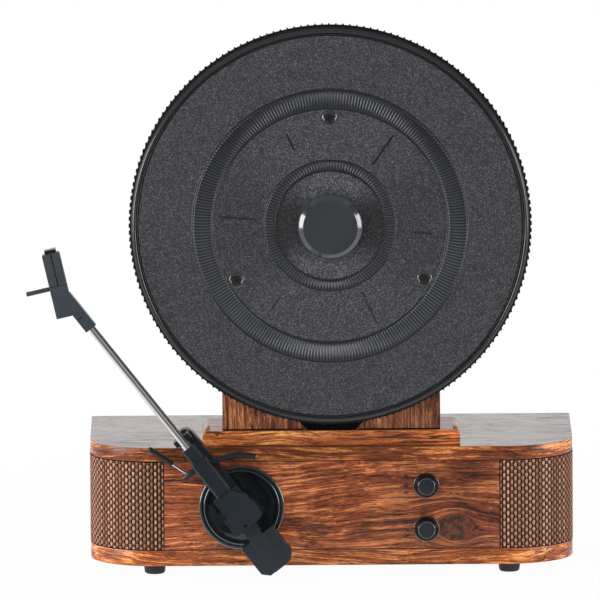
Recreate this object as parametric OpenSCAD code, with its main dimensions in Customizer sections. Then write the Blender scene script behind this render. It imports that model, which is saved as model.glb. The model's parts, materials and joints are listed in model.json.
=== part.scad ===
// Vertical record player: a wooden cabinet with speakers, a column that carries the upright platter,
// and a tonearm that swings in front of it. X runs to the right, Y to the back and Z up.
// The origin is on the table, under the middle of the cabinet.

/* [Cabinet] */
// Width of the cabinet across its two speaker ends
base_w = 370; // [350:1:400]
// Depth of the cabinet from the front panel's face to the back panel's face
base_d = 160; // [150:1:190]
// Height of the cabinet without its feet
base_h = 91.5; // [88:0.5:105]
// Radius of the rounded front corners
corner_r = 50; // [40:1:54]
// Radius of the small back corners
back_r = 3; // [1:0.5:6]
// Thickness of the top board
top_t = 10.5; // [8:0.5:13]
// Thickness of the bottom board
bottom_t = 12; // [9:0.5:14]
// Thickness of the front, side and back panels
panel_t = 9; // [7:0.5:11]
// Width of each grille as seen from the front
grille_w = 56.7; // [56:0.1:64]
// Length of each grille along the cabinet's side, from the front
grille_reach = 110; // [104:1:125]
// Thickness of the woven cloth
cloth_t = 1; // [0.6:0.1:1.6]
// How far the cloth stands proud of the boards' edges
cloth_proud = 0.5; // [0.2:0.1:0.8]
// Thickness of the frame behind the cloth
grille_frame_t = 3; // [2:0.5:5]

/* [Feet] */
// Height of the rubber feet
foot_h = 10; // [8:0.5:14]
// Radius of the feet
foot_r = 8.75; // [7.5:0.25:11]
// Distance of the feet from the cabinet's ends
foot_inset_x = 49; // [40:1:60]
// Distance of the feet from the cabinet's front and back
foot_inset_y = 28.75; // [22:0.25:40]

/* [Speakers] */
// Radius of the speaker's mounting flange
speaker_r = 31; // [27:0.5:32]
// Radius of the speaker's magnet
magnet_r = 20; // [16:0.5:24]
// Depth of the speaker's basket behind the baffle
basket_d = 24; // [18:1:32]
// Thickness of the speaker baffles
baffle_t = 8; // [6:0.5:10]

/* [Tower] */
// Width of the tier plate under the column
tier_w = 197; // [185:0.5:215]
// Depth of the tier plate
tier_d = 62; // [58:0.5:70]
// Thickness of the tier plate
tier_t = 11.8; // [9:0.1:14]
// Radius of the tier plate's upper ends
tier_r = 5.5; // [3:0.5:7]
// Set-back of the tier plate from the cabinet's front
tier_set = 7; // [4:0.5:10]
// Width of the column
column_w = 166.6; // [156:0.2:176]
// Depth of the column with its back cover
column_d = 51; // [47:0.5:54]
// Set-back of the column from the tier plate's front
column_set = 4.5; // [3:0.5:6]
// How far the column's top stands above the spindle
column_over = 58; // [45:1:75]
// Thickness of the column's front wall
column_front_t = 12; // [9:0.5:14]
// Thickness of the column's side and top walls
column_side_t = 10; // [9:0.5:13]
// Thickness of the column's back cover
column_back_t = 8; // [6:0.5:10]

/* [Platter] */
// Height of the spindle above the cabinet's top
spindle_rise = 173.5; // [170:0.5:185]
// How far the platter's face stands ahead of the cabinet's front
platter_ahead = 18; // [16:0.5:20]
// Radius of the platter over its grip band, without the teeth
platter_r = 152.75; // [151:0.25:156]
// Depth of the platter's rim from front to back
rim_d = 16; // [13:0.5:17]
// Wall thickness of the platter's rim
rim_t = 3; // [2:0.25:4]
// Thickness of the platter's disc at the outer field
disc_t = 6; // [5:0.25:7]
// Radius of the flat field that carries a large record
field_r = 146; // [144:0.25:146.5]
// Outer radius of the large ribbed ring
ring_out_r = 105.25; // [100:0.25:112]
// Radius of the plateau that carries a small record
plateau_r = 89.3; // [86:0.1:94]
// Outer radius of the small ribbed ring
ring_in_r = 50.45; // [47:0.05:54]
// Radius of the label recess
label_r = 41.4; // [38:0.1:44]
// Depth of the plateau below the field
plateau_drop = 1.7; // [1:0.1:2]
// Depth of the label recess below the plateau
label_drop = 1.7; // [1:0.1:2]
// Number of teeth round the grip band
tooth_count = 180; // [120:1:220]
// Height of the teeth
tooth_h = 0.95; // [0.5:0.05:1.5]
// Thickness of the grip band under its teeth
band_t = 1.2; // [0.8:0.1:2]
// Radius of the spindle, which fits the hole of a record
spindle_r = 3.6; // [3:0.05:4]
// Radius of the circle of the three platter screws
screw_circle_r = 82.8; // [78:0.1:84]
// Radius of the record clamp
clamp_r = 24.5; // [20:0.5:30]
// Height of the record clamp
clamp_h = 12.6; // [10:0.1:16]

/* [Drive] */
// Radius of the drive wheel behind the platter
wheel_r = 104; // [98:0.5:110]
// Thickness of the drive wheel
wheel_t = 9; // [8:0.5:10]
// Radius of the motor pulley
pulley_r = 4; // [3:0.25:6]
// Distance from the spindle to the motor shaft
motor_drop = 124; // [121:0.5:127]
// Radius of the motor's can
motor_r = 18; // [14:0.5:22]
// Length of the motor's can
motor_l = 22; // [16:0.5:26]
// Width of the drive belt
belt_w = 4; // [3:0.5:5]
// Thickness of the drive belt
belt_t = 1; // [0.6:0.1:1.5]

/* [Controls] */
// Distance of the knobs from the cabinet's middle
knob_x = 72.4; // [60:0.1:90]
// Distance between the two knobs
knob_pitch = 33.6; // [28:0.1:40]
// Radius of the knobs
knob_r = 9.75; // [8:0.25:12]
// Height of the knobs
knob_h = 8.5; // [7:0.5:12]
// Radius of the knobs' front face
knob_face_r = 6.1; // [5:0.1:7]
// Radius of the switch shafts
knob_shaft_r = 3; // [2.5:0.1:3.5]

/* [Tonearm] */
// Distance of the arm's pivot to the left of the cabinet's middle
arm_x = 69; // [60:0.5:80]
// Angle of the arm at rest, measured from upright towards the left
arm_rest_deg = 38.1; // [36:0.1:42]
// How far the arm tube's axis stands ahead of the front panel
arm_ahead = 38.5; // [37:0.5:44]
// Radius of the arm tube
tube_r = 3.2; // [2.5:0.1:3.3]
// Distance from the pivot to the tube's outer end
tube_end = 199; // [190:0.5:202]
// Distance from the pivot to the sleeve's outer end
sleeve_end = 66; // [60:0.5:68]
// Distance from the pivot to the step in the sleeve
sleeve_step = 53; // [48:0.5:56]
// Width of the sleeve next to the pivot
sleeve_w = 13; // [11:0.5:15]
// Height of the sleeve next to the pivot, from front to back
sleeve_h = 11; // [9:0.5:12]
// Angle between the headshell and the tube
head_deg = 25.2; // [20:0.1:28]
// Width of the headshell and the cartridge
head_w = 13.8; // [12:0.1:16]
// Length of the headshell behind the cartridge
head_l = 24.5; // [20:0.5:28]
// Length of the cartridge
cartridge_l = 25.5; // [20:0.5:28]
// Distance from the tube's outer end to the rear end of the cartridge along the arm
head_ahead = 26.25; // [22:0.25:30]
// Radius of the round dish that carries the arm
dish_r = 32.5; // [30:0.5:34]
// How far the dish stands ahead of the front panel
dish_proud = 4.5; // [3:0.5:6]
// Width of the counterweight
weight_w = 29.5; // [26:0.5:32]
// Length of the counterweight
weight_l = 30; // [26:0.5:32]
// Radius of the lifter bar about the pivot
lifter_r = 45; // [42:0.5:47]

/* [Hidden] */
$fn = 96;

// Clearances
press_gap = 0.04;
run_gap = 0.05;
seat_gap = 0.3;
panel_gap = 0.8;

// How far a cutting solid runs past the face it cuts
cut = 1;

// Heights and faces of the cabinet
front_y = -base_d / 2;
back_y = base_d / 2;
half_w = base_w / 2;
bottom_z = foot_h;
floor_z = foot_h + bottom_t;
ceil_z = foot_h + base_h - top_t;
top_z = foot_h + base_h;
inner_h = ceil_z - floor_z;
mid_z = foot_h + base_h / 2;
front_half = half_w - grille_w;
grille_end_y = front_y + grille_reach;
foot_x = half_w - foot_inset_x;
foot_y = base_d / 2 - foot_inset_y;

// Screws
screw_r = 1.6;
screw_l = 16;
screw_head_r = 3.2;
screw_head_h = 1.6;
foot_screw_l = 14;
screw_tip_gap = 1;
foot_bore_r = 4.2;
foot_bore_d = 4;
foot_taper = 0.9;
foot_edge = 1.2;

// Corner blocks, back screws and sockets
block_w = 14;
back_half = half_w - panel_t;
back_screw_x = back_half - block_w / 2;
back_screw_z = inner_h / 2 - block_w / 2;
jack_w = 84;
jack_h = 30;
jack_t = 2;
jack_edge = 3;
jack_z = mid_z;
rca_r = 4.15;
rca_l = 9;
rca_pitch = 18;
rca_bore_r = 1.6;
rca_collar_r = 5.4;
rca_collar = 0.5;
rca_x = -24;
aux_x = 13;
aux_r = 4;
aux_bore_r = 1.8;
aux_l = 12;
power_x = 31;
power_r = 5.5;
power_bore_r = 2.8;
power_pin_r = 1;
power_floor = 3;
nose_proud = 1;
socket_body_w = 12;
socket_body_d = 12;

// Speakers
baffle_set = 14;
baffle_x = half_w - baffle_set;
baffle_lead = 26;
baffle_front = front_y + baffle_lead;
speaker_flange_t = 3;
speaker_lip = 3.5;
speaker_y = (front_y + corner_r + grille_end_y) / 2;
baffle_edge = 6;
baffle_end = speaker_y + speaker_r + baffle_edge;
cone_t = 0.8;
cone_clear = 4;
roll_w = 4;
roll_h = 1.4;
dust_cap_h = 3;
coil_r = 9;
basket_wall = 1.5;
magnet_l = 14;
window_rail = 7;
window_h = inner_h - 2 * window_rail;
window_turn = 30;
window_edge = 6;

// Circuit board
board_w = 110;
board_d = 64;
board_t = 1.6;
standoff_h = 8;
standoff_r = 3;
board_y = 24;
standoff_set = 6;
can_r = 5;
can_h = 14;
can_x = [-40, -26];
can_back = 8;
chip_w = 16;
chip_t = 2;
chip_x = -4;
heat_x = 20;
heat_w = 34;
heat_d = 30;
heat_h = 16;
heat_foot = 3;
heat_fins = 6;
fin_t = 2;

// Tower
tier_front = front_y + tier_set;
tier_top = top_z + tier_t;
tier_reveal_h = 0.8;
tier_reveal_d = 1.5;
column_front = tier_front + column_set;
column_end = column_front + column_d;
spindle_z = top_z + spindle_rise;
column_top = spindle_z + column_over;
wire_hole_r = 8;
bolt_r = 2.5;
bolt_head_r = 4.5;
bolt_head_h = 3;
bolt_grip = 20;
bolt_tip_gap = 1;
bolt_x = column_w / 2 - column_side_t / 2;
bolt_set = 8;
bolt_y = [column_front + column_front_t, column_end - column_back_t - bolt_set];
cover_screw_set = [bolt_grip + 10, 15];
cover_screw_z = [tier_top + cover_screw_set[0], column_top - cover_screw_set[1]];
cavity_w = column_w - 2 * column_side_t;

// Bearing, drive wheel, motor and belt
flange_r = 30;
flange_t = 4;
flange_hub_r = 9;
flange_screw_r = 22;
bush_r = 6;
bush_lip_r = 8;
bush_lip_t = 1.5;
bush_over = 6;
bush_back = column_front + column_front_t + bush_over;
bush_front = column_front - flange_t - bush_lip_t;
clip_t = 1.8;
clip_r = 7;
spindle_over = 1;
spindle_tip = 1;
spindle_back = bush_back + seat_gap + clip_t + spindle_over;
platter_front = front_y - platter_ahead;
disc_back = platter_front + disc_t;
hub_r = 12;
belt_y = disc_back + wheel_t / 2;
belt_lean = asin((wheel_r - pulley_r) / motor_drop);
belt_steps = 96;
pulley_l = 7;
pulley_lip = 1;
pulley_lip_t = 0.5;
motor_z = spindle_z - motor_drop;
motor_front = column_front + column_front_t;
motor_shaft_r = 1;
motor_boss_r = 5;
plate_t = 3;
plate_w = 60;
plate_cut = 12;
plate_rise = 34;
plate_top = motor_z + plate_rise;
plate_hole_r = 8;
plate_screw_x = 22;
plate_screw_rise = 22;
plate_screw_z = motor_z + plate_screw_rise;

// Platter details
rim_edge = 1.2;
groove_w = 0.8;
groove_d = 2;
ridge_w = 0.6;
ridge_drop = 0.6;
label_wall = 0.4;
label_lip = 1;
skirt_r = platter_r - band_t - press_gap;
tick_w = 1.7;
tick_d = 0.5;
tick_long = [56.6, 84.4];
tick_short = [64, 78];
tick_first = 55;
tick_pairs = 3;
tick_turn = 180 / tick_pairs;
boss_r = 4.9;
boss_d = 1.2;
platter_screw_r = 1.5;
platter_screw_head_r = 2.8;
platter_screw_head_h = 1;
platter_screw_l = 6;
screw_angles = [90, 210, 330];
tooth_foot = 1.5;
tooth_tip = 0.9;
tooth_pitch = 360 / tooth_count;
label_floor = platter_front + plateau_drop + label_drop;
clamp_back = label_floor - seat_gap;
clamp_bevel = 3;
clamp_rim_h = 9.3;
clamp_cap = 2;
clamp_foot = 1;
clamp_edge = 0.7;
spindle_front = clamp_back - clamp_h + clamp_cap + seat_gap;

// Knobs and switches
knob_drop = 0.9;
knob_mid_z = mid_z - knob_drop;
knob_z = [knob_mid_z + knob_pitch / 2, knob_mid_z - knob_pitch / 2];
knob_gap = 0.4;
knob_skirt_h = 3;
knob_edge = 0.6;
knob_taper = 1.4;
knob_shoulder_r = knob_r - knob_taper;
knob_dome = 3.4;
knob_shoulder_h = knob_h - knob_dome;
knob_face_t = 3;
knob_bore_d = knob_h - knob_face_t;
switch_w = 18;
switch_h = 14;
switch_d = 11;
switch_bush_r = 4.6;

// Arm base, post and turret
arm_z = mid_z;
tube_y = front_y - arm_ahead;
block_front = tube_y - sleeve_h / 2;
block_h = 15;
block_back = block_front + block_h;
tilt_gap = 2;
fork_t = 4;
fork_front = block_back + tilt_gap;
fork_back = fork_front + fork_t;
arm_gap = 0.5;
post_front = fork_back + arm_gap;
post_r = 7.5;
spigot_r = 11;
spigot_l = 20;
dish_lip = 2.6;
dish_floor = 1;
dish_edge = 1;
dish_slope = 0.6;
dish_line_w = 0.6;
dish_line_d = 0.9;
dish_ring_w = 1.9;
dish_ring_drop = 0.4;
dish_hollow_r = 17;
cove_w = 4;
cove_h = 0.3;
bush_in_r = 3;
arm_bush_r = 4.5;
shaft_head_r = 5;
shaft_head_t = 1.5;
nut_r = 16;
nut_t = 5;
fork_r = 10.5;
ear_in = 10.9;
ear_t = 2.8;
ear_half = 5;
ear_set = 2;
ear_front = block_front + ear_set;
pin_set = 2.5;
pin_y = tube_y + pin_set;
pin_r = 1;
pin_reach = 7;

// Arm rest, cue lever and lifter
rest_front = post_front + arm_gap;
rest_t = 14;
rest_back = rest_front + rest_t;
rest_ring_r = 11.5;
rest_w = 15;
rest_side = 1.2;
rest_over = 11.5;
rest_end = sleeve_end + rest_over;
jaw_set = 4;
jaw_s = sleeve_end + jaw_set;
jaw_l = 5;
jaw_gap = 0.7;
jaw_in = tube_r + jaw_gap;
jaw_t = 3;
jaw_front = tube_y + tube_r + seat_gap;
jaw_d = 2.5;
cradle_front = jaw_front + jaw_d;
lifter_bar_r = 2.1;
lifter_post_r = 1.6;
lifter_from = 5;
lifter_to = 52;
lifter_boss_r = 2.7;
lifter_boss_over = 0.1;
lifter_y = tube_y + sleeve_h / 2 + seat_gap + lifter_boss_over + lifter_bar_r;
guide_l = 5;
guide_out = 0.1;
post_back = rest_front + guide_l + guide_out;
cam_r = 2.2;
cam_e = 1.55;
cam_deg = 45;
cue_y = post_back + seat_gap + cam_r + cam_e * cos(cam_deg);
cue_ahead = 1;
cue_s = lifter_r + cue_ahead;
cue_pin_r = 1.5;
cue_bar_r = 2.4;
cue_bar_end = -20;
cue_rod_t = -15;
cue_rod_r = 0.95;
cue_lean = 18;
cue_rod_l = 15;
cue_grip_r = 2.2;
cue_grip_l = 22.3;
cam_w = 3;
lifter_t = lifter_r * sin(lifter_from);
lifter_s = lifter_r * cos(lifter_from);
cavity_half = 5;

// Arm, headshell and counterweight
carrier_half = 10.4;
carrier_back_s = -10;
carrier_s = 21;
sleeve_cut = 1.4;
sleeve_step_w = 2.4;
sleeve_step_h = 1.5;
sleeve_end_w = sleeve_w - sleeve_step_w;
sleeve_end_h = sleeve_h - sleeve_step_h;
tube_start = 40;
tube_wall = 0.6;
tube_bore_r = tube_r - tube_wall;
collar_t = 0.7;
collar_r = tube_r + collar_t;
collar_l = 1.6;
collar_pitch = 2.4;
collar_count = 2;
cap_t = 4;
cap_half = 14;
cap_front_half = 6;
cap_shoulder = 9;
cap_shoulder_half = 13.5;
cap_corner = 2;
cap_corner_w = 2.5;
cap_rear_half = 7;
cap_rise = 1;
cap_screw_s = -7.3;
cap_screw_t = -2;
cap_boss_r = 4.4;
cap_dip_r = 2.8;
cap_socket_r = 1.4;
cap_socket_d = 2.4;
neck_w = 9.3;
neck_grip = 15;
neck_s = tube_end - neck_grip;
neck_over = 16.5;
neck_slit_s = neck_s + 11;
neck_slit_w = 0.8;
neck_slit_d = 0.5;
head_s = tube_end + head_ahead;
head_h = 8;
head_front = tube_y - head_h / 2;
head_side = 0.85;
finger_w = 3.2;
finger_l = 18.4;
finger_t = 2;
cartridge_step = 0.3;
cartridge_front = head_front + cartridge_step;
cartridge_h = 8.7;
cartridge_groove = 1;
cartridge_groove_d = 0.6;
cartridge_cut = 0.6;
stylus_w = 8.8;
stylus_h = 3.2;
stylus_nose = 2.5;
stylus_nose_h = 5.5;
stylus_from = 3;
tip_u = 20;
tip_h = 1.8;
tip_r = 0.5;
stem_w = 11;
stem_l = 10;
weight_h = 14;
weight_cut = 5;
weight_edge = 1.5;
weight_rise = 1.5;
weight_set = 1;
weight_back = block_back - weight_set;
weight_side = -1.6;

WOOD = "#9c5327";
WOOD_DARK = "#6f3a1d";
BLACK = "#23262b";
GLOSS = "#15181c";
CHROME = "#d8d8da";
STEEL = "#a8abb0";
BRASS = "#c29b48";
RUBBER = "#1a1a1a";
CLOTH = "#6b4327";
PAPER = "#3b3733";
BOARD = "#2f6b3a";
RED = "#b3202a";

// Draws its children with their Z axis pointing to the front
module to_front(x, y, z) {
  translate([x, y, z]) rotate([90, 0, 0]) children();
}

// Draws its children with their Z axis pointing to the back
module to_back(x, y, z) {
  translate([x, y, z]) rotate([-90, 0, 0]) children();
}

// Draws its children on the right and mirrored on the left
module both_sides() {
  children();
  mirror([1, 0, 0]) children();
}

// A plate between two heights with the cabinet's outline
module cabinet_plate(z0, z1) {
  translate([0, 0, z0]) linear_extrude(z1 - z0) {
    translate([-half_w, front_y + corner_r]) square([base_w, base_d - corner_r - back_r]);
    translate([-half_w + corner_r, front_y]) square([base_w - 2 * corner_r, corner_r]);
    translate([-half_w + back_r, back_y - back_r]) square([base_w - 2 * back_r, back_r]);
    for (side = [-1, 1]) translate([side * (half_w - corner_r), front_y + corner_r]) circle(corner_r);
    for (side = [-1, 1]) translate([side * (half_w - back_r), back_y - back_r]) circle(back_r);
  }
}

// The right grille's band between two offsets from the boards' edge
module grille_band(inner, outer, gap) {
  h = inner_h - 2 * gap;
  t = outer - inner;
  x0 = front_half + gap;
  y1 = grille_end_y - gap;
  translate([0, 0, floor_z + gap]) {
    translate([half_w - corner_r, front_y + corner_r, 0])
      rotate_extrude(angle = 90, start = -90) translate([corner_r + inner, 0]) square([t, h]);
    translate([x0, front_y - outer, 0]) cube([half_w - corner_r - x0, t, h]);
    translate([half_w + inner, front_y + corner_r, 0]) cube([t, y1 - front_y - corner_r, h]);
  }
}

// A wood screw whose head rests on the plane z = 0
module wood_screw(l) {
  cylinder(r = screw_head_r, h = screw_head_h);
  translate([0, 0, -l]) cylinder(r = screw_r, h = l + screw_head_h / 2);
}

module screw_hole(l) {
  translate([0, 0, -l]) cylinder(r = screw_r + run_gap, h = l + cut);
}

module at_feet() {
  for (x = [-foot_x, foot_x]) for (y = [-foot_y, foot_y]) translate([x, y, 0]) children();
}

module at_back_screws() {
  for (x = [-back_screw_x, back_screw_x]) for (z = [-back_screw_z, back_screw_z])
    to_back(x, back_y, mid_z + z) children();
}

module at_cover_screws() {
  for (x = [-bolt_x, bolt_x]) for (z = cover_screw_z) to_back(x, column_end, z) children();
}

module at_flange_screws() {
  for (a = screw_angles)
    to_front(flange_screw_r * cos(a), column_front - flange_t, spindle_z + flange_screw_r * sin(a))
      children();
}

module at_plate_screws() {
  for (x = [-plate_screw_x, plate_screw_x])
    to_front(x, column_front - plate_t, plate_screw_z) children();
}

module at_tower_bolts() {
  for (x = [-bolt_x, bolt_x]) for (y = bolt_y) translate([x, y, ceil_z]) children();
}

module bottom_board() {
  color(WOOD) difference() {
    cabinet_plate(bottom_z, floor_z);
    at_feet() translate([0, 0, foot_bore_d]) rotate([180, 0, 0])
      screw_hole(foot_screw_l + screw_tip_gap);
  }
}

module top_board() {
  color(WOOD) difference() {
    cabinet_plate(ceil_z, top_z);
    at_tower_bolts() translate([0, 0, -cut]) cylinder(r = bolt_r + run_gap, h = top_t + 2 * cut);
    translate([0, (column_front + column_end) / 2, ceil_z - cut])
      cylinder(r = wire_hole_r, h = top_t + 2 * cut);
  }
}

module front_panel() {
  color(WOOD) difference() {
    translate([-front_half, front_y, floor_z]) cube([2 * front_half, panel_t, inner_h]);
    to_back(-arm_x, front_y - cut, arm_z) cylinder(r = spigot_r + seat_gap, h = panel_t + 2 * cut);
    for (z = knob_z) to_back(knob_x, front_y - cut, z)
      cylinder(r = switch_bush_r + run_gap, h = panel_t + 2 * cut);
  }
}

// Side panels behind the grilles, rounded at their back corners as the boards are
module side_panels() {
  l = back_y - grille_end_y;
  color(WOOD) both_sides() translate([0, 0, floor_z]) linear_extrude(inner_h) {
    translate([half_w - panel_t, grille_end_y]) square([panel_t - back_r, l]);
    translate([half_w - panel_t, grille_end_y]) square([panel_t, l - back_r]);
    translate([half_w - back_r, back_y - back_r]) circle(back_r);
  }
}

module back_panel() {
  color(WOOD_DARK) difference() {
    translate([-back_half, back_y - panel_t, floor_z]) cube([2 * back_half, panel_t, inner_h]);
    at_back_screws() screw_hole(panel_t + cut);
    translate([-jack_w / 2 + jack_edge, back_y - panel_t - cut, jack_z - jack_h / 2 + jack_edge])
      cube([jack_w - 2 * jack_edge, panel_t + 2 * cut, jack_h - 2 * jack_edge]);
  }
}

module corner_blocks() {
  color(WOOD_DARK) difference() {
    both_sides() translate([back_half - block_w, back_y - panel_t - block_w, floor_z])
      cube([block_w, block_w, inner_h]);
    at_back_screws() screw_hole(screw_l + screw_tip_gap);
  }
}

// Frames of the grilles, with one window on the side and three round the corner
module grille_frames() {
  back = cloth_proud - cloth_t - grille_frame_t;
  side_l = grille_end_y - front_y - corner_r;
  color(BLACK) both_sides() difference() {
    grille_band(back, cloth_proud - cloth_t, panel_gap);
    translate([half_w - 2 * corner_r, front_y + corner_r + window_edge, mid_z - window_h / 2])
      cube([3 * corner_r, side_l - 2 * window_edge - panel_gap, window_h]);
    for (i = [0:2]) translate([half_w - corner_r, front_y + corner_r, mid_z])
      rotate([0, 0, (i + 0.5) * window_turn - 90]) translate([corner_r / 2, -corner_r / 6, -window_h / 2])
        cube([corner_r, corner_r / 3, window_h]);
  }
}

module grille_cloth() {
  color(CLOTH) grille_band(cloth_proud - cloth_t, cloth_proud, panel_gap);
}

module left_grille_cloth() {
  mirror([1, 0, 0]) grille_cloth();
}

module right_grille_cloth() {
  grille_cloth();
}

module speaker_baffles() {
  color(WOOD_DARK) both_sides() difference() {
    translate([baffle_x - baffle_t, baffle_front, floor_z])
      cube([baffle_t, baffle_end - baffle_front, inner_h]);
    translate([baffle_x - baffle_t - cut, speaker_y, mid_z]) rotate([0, 90, 0])
      cylinder(r = speaker_r - speaker_lip, h = baffle_t + 2 * cut);
  }
}

// Speaker frame: flange, sloping wall and flat back, riveted to the magnet
module speaker_frames() {
  wall_r = speaker_r - speaker_lip - run_gap;
  inner_r = wall_r - basket_wall;
  back = -basket_d - magnet_l;
  color(STEEL) both_sides() translate([baffle_x, speaker_y, mid_z]) rotate([0, 90, 0]) rotate_extrude()
    polygon([
      [0, back], [magnet_r, back], [magnet_r, -basket_d], [wall_r, -baffle_t], [wall_r, 0],
      [speaker_r, 0], [speaker_r, speaker_flange_t], [inner_r, speaker_flange_t], [inner_r, -baffle_t],
      [magnet_r - basket_wall, basket_wall - basket_d], [0, basket_wall - basket_d]
    ]);
}

// Speaker cone with a rolled edge and a shallow dust cap over its coil
module speaker_cones() {
  rim = speaker_r - speaker_lip - basket_wall - 2 * run_gap;
  deep = basket_d - basket_wall - cone_clear;
  color(PAPER) both_sides() translate([baffle_x, speaker_y, mid_z]) rotate([0, 90, 0]) rotate_extrude()
    polygon([
      [0, dust_cap_h - deep], [coil_r / 2, dust_cap_h * 2 / 3 - deep], [coil_r, -deep], [rim - roll_w, 0],
      [rim - roll_w / 2, roll_h], [rim, 0], [rim, -cone_t], [rim - roll_w / 2, roll_h - cone_t],
      [rim - roll_w, -cone_t], [coil_r, -deep - cone_t], [0, -deep - cone_t]
    ]);
}

module feet() {
  tip_r = foot_r - foot_taper;
  color(RUBBER) at_feet() rotate_extrude() polygon([
    [screw_r + run_gap, foot_bore_d], [foot_bore_r, foot_bore_d], [foot_bore_r, 0], [tip_r - foot_edge, 0],
    [tip_r, foot_edge], [foot_r, foot_h], [screw_r + run_gap, foot_h]
  ]);
}

module wood_screws() {
  color(STEEL) {
    at_feet() translate([0, 0, foot_bore_d]) rotate([180, 0, 0]) wood_screw(foot_screw_l);
    at_back_screws() wood_screw(screw_l);
    at_cover_screws() wood_screw(screw_l);
    at_flange_screws() wood_screw(flange_t + column_front_t / 2);
    at_plate_screws() wood_screw(plate_t + column_front_t / 2);
  }
}

module at_standoffs() {
  for (x = [-1, 1]) for (y = [-1, 1])
    translate([x * (board_w / 2 - standoff_set), board_y + y * (board_d / 2 - standoff_set), floor_z])
      children();
}

// Circuit board with two round capacitors, an amplifier chip and its finned cooler
module main_board() {
  z = floor_z + standoff_h;
  pitch = (heat_w - fin_t) / (heat_fins - 1);
  color(BOARD) translate([-board_w / 2, board_y - board_d / 2, z]) cube([board_w, board_d, board_t]);
  color(BLACK) translate([0, board_y, z + board_t]) {
    for (x = can_x) translate([x, can_back, 0]) cylinder(r = can_r, h = can_h);
    translate([chip_x, -chip_w, 0]) cube([chip_w, chip_w, chip_t]);
    translate([heat_x, -heat_d / 2, 0]) cube([heat_w, heat_d, heat_foot]);
    for (i = [0:heat_fins - 1]) translate([heat_x + i * pitch, -heat_d / 2, 0]) cube([fin_t, heat_d, heat_h]);
  }
}

module board_standoffs() {
  color(BRASS) at_standoffs() cylinder(r = standoff_r, h = standoff_h);
}

module jack_plate() {
  color(BLACK) difference() {
    translate([-jack_w / 2, back_y, jack_z - jack_h / 2]) cube([jack_w, jack_t, jack_h]);
    for (i = [0, 1]) to_back(rca_x + i * rca_pitch, back_y - cut, jack_z)
      cylinder(r = rca_collar_r + run_gap, h = jack_t + 2 * cut);
    to_back(aux_x, back_y - cut, jack_z) cylinder(r = aux_r + run_gap, h = jack_t + 2 * cut);
    to_back(power_x, back_y - cut, jack_z) cylinder(r = power_r + run_gap, h = jack_t + 2 * cut);
  }
}

// A socket's block behind the jack plate, with a round nose through the plate
module socket_block(x) {
  translate([x - socket_body_w / 2, back_y - socket_body_d, jack_z - socket_body_w / 2])
    cube([socket_body_w, socket_body_d, socket_body_w]);
}

module rca_sockets() {
  nose = jack_t + rca_collar;
  color(STEEL) for (i = [0, 1]) difference() {
    union() {
      socket_block(rca_x + i * rca_pitch);
      to_back(rca_x + i * rca_pitch, back_y, jack_z) cylinder(r = rca_collar_r, h = nose);
      to_back(rca_x + i * rca_pitch, back_y + nose, jack_z) cylinder(r = rca_r, h = rca_l);
    }
    to_back(rca_x + i * rca_pitch, back_y, jack_z) cylinder(r = rca_bore_r, h = nose + rca_l + cut);
  }
}

module aux_socket() {
  nose = jack_t + nose_proud;
  color(BLACK) difference() {
    union() {
      socket_block(aux_x);
      to_back(aux_x, back_y, jack_z) cylinder(r = aux_r, h = nose);
    }
    to_back(aux_x, back_y + nose - aux_l, jack_z) cylinder(r = aux_bore_r, h = aux_l + cut);
  }
}

module power_inlet() {
  color(BLACK) {
    difference() {
      union() {
        socket_block(power_x);
        to_back(power_x, back_y, jack_z) cylinder(r = power_r, h = jack_t + nose_proud);
      }
      to_back(power_x, back_y - socket_body_d + power_floor, jack_z)
        cylinder(r = power_bore_r, h = socket_body_d + jack_t);
    }
    to_back(power_x, back_y - socket_body_d + power_floor / 2, jack_z)
      cylinder(r = power_pin_r, h = socket_body_d - power_floor / 2);
  }
}

// Plate whose upper ends are rounded, drawn as a front view carried to the back
module tier_plate() {
  color(WOOD) difference() {
    translate([0, tier_front + tier_d, top_z]) rotate([90, 0, 0]) linear_extrude(tier_d) intersection() {
      translate([-tier_w / 2, 0]) square([tier_w, tier_t]);
      union() {
        translate([-tier_w / 2, 0]) square([tier_w, tier_t - tier_r]);
        translate([-tier_w / 2 + tier_r, 0]) square([tier_w - 2 * tier_r, tier_t]);
        for (side = [-1, 1]) translate([side * (tier_w / 2 - tier_r), tier_t - tier_r]) circle(tier_r);
      }
    }
    at_tower_bolts() translate([0, 0, top_t - cut]) cylinder(r = bolt_r + run_gap, h = tier_t + 2 * cut);
    translate([0, (column_front + column_end) / 2, top_z - cut])
      cylinder(r = wire_hole_r, h = tier_t + 2 * cut);
    difference() {
      translate([-tier_w / 2 - cut, tier_front - cut, top_z - cut])
        cube([tier_w + 2 * cut, tier_d + 2 * cut, tier_reveal_h + cut]);
      translate([-tier_w / 2 + tier_reveal_d, tier_front + tier_reveal_d, top_z - 2 * cut])
        cube([tier_w - 2 * tier_reveal_d, tier_d - 2 * tier_reveal_d, tier_reveal_h + 3 * cut]);
    }
  }
}

// Column: front, side and top walls in one, open at the back
module column() {
  deep = column_d - column_back_t;
  color(WOOD) difference() {
    translate([-column_w / 2, column_front, tier_top]) cube([column_w, deep, column_top - tier_top]);
    translate([-cavity_w / 2, column_front + column_front_t, tier_top - cut])
      cube([cavity_w, deep, column_top - tier_top - column_side_t + cut]);
    at_tower_bolts() cylinder(r = bolt_r + run_gap, h = top_t + tier_t + bolt_grip);
    at_cover_screws() screw_hole(screw_l + screw_tip_gap);
    at_flange_screws() screw_hole(flange_t + column_front_t / 2);
    at_plate_screws() screw_hole(plate_t + column_front_t / 2);
    to_back(0, column_front - cut, spindle_z)
      cylinder(r = flange_hub_r + run_gap, h = column_front_t + 2 * cut);
    to_back(0, column_front - cut, motor_z)
      cylinder(r = motor_boss_r + run_gap, h = column_front_t + 2 * cut);
  }
}

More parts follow.
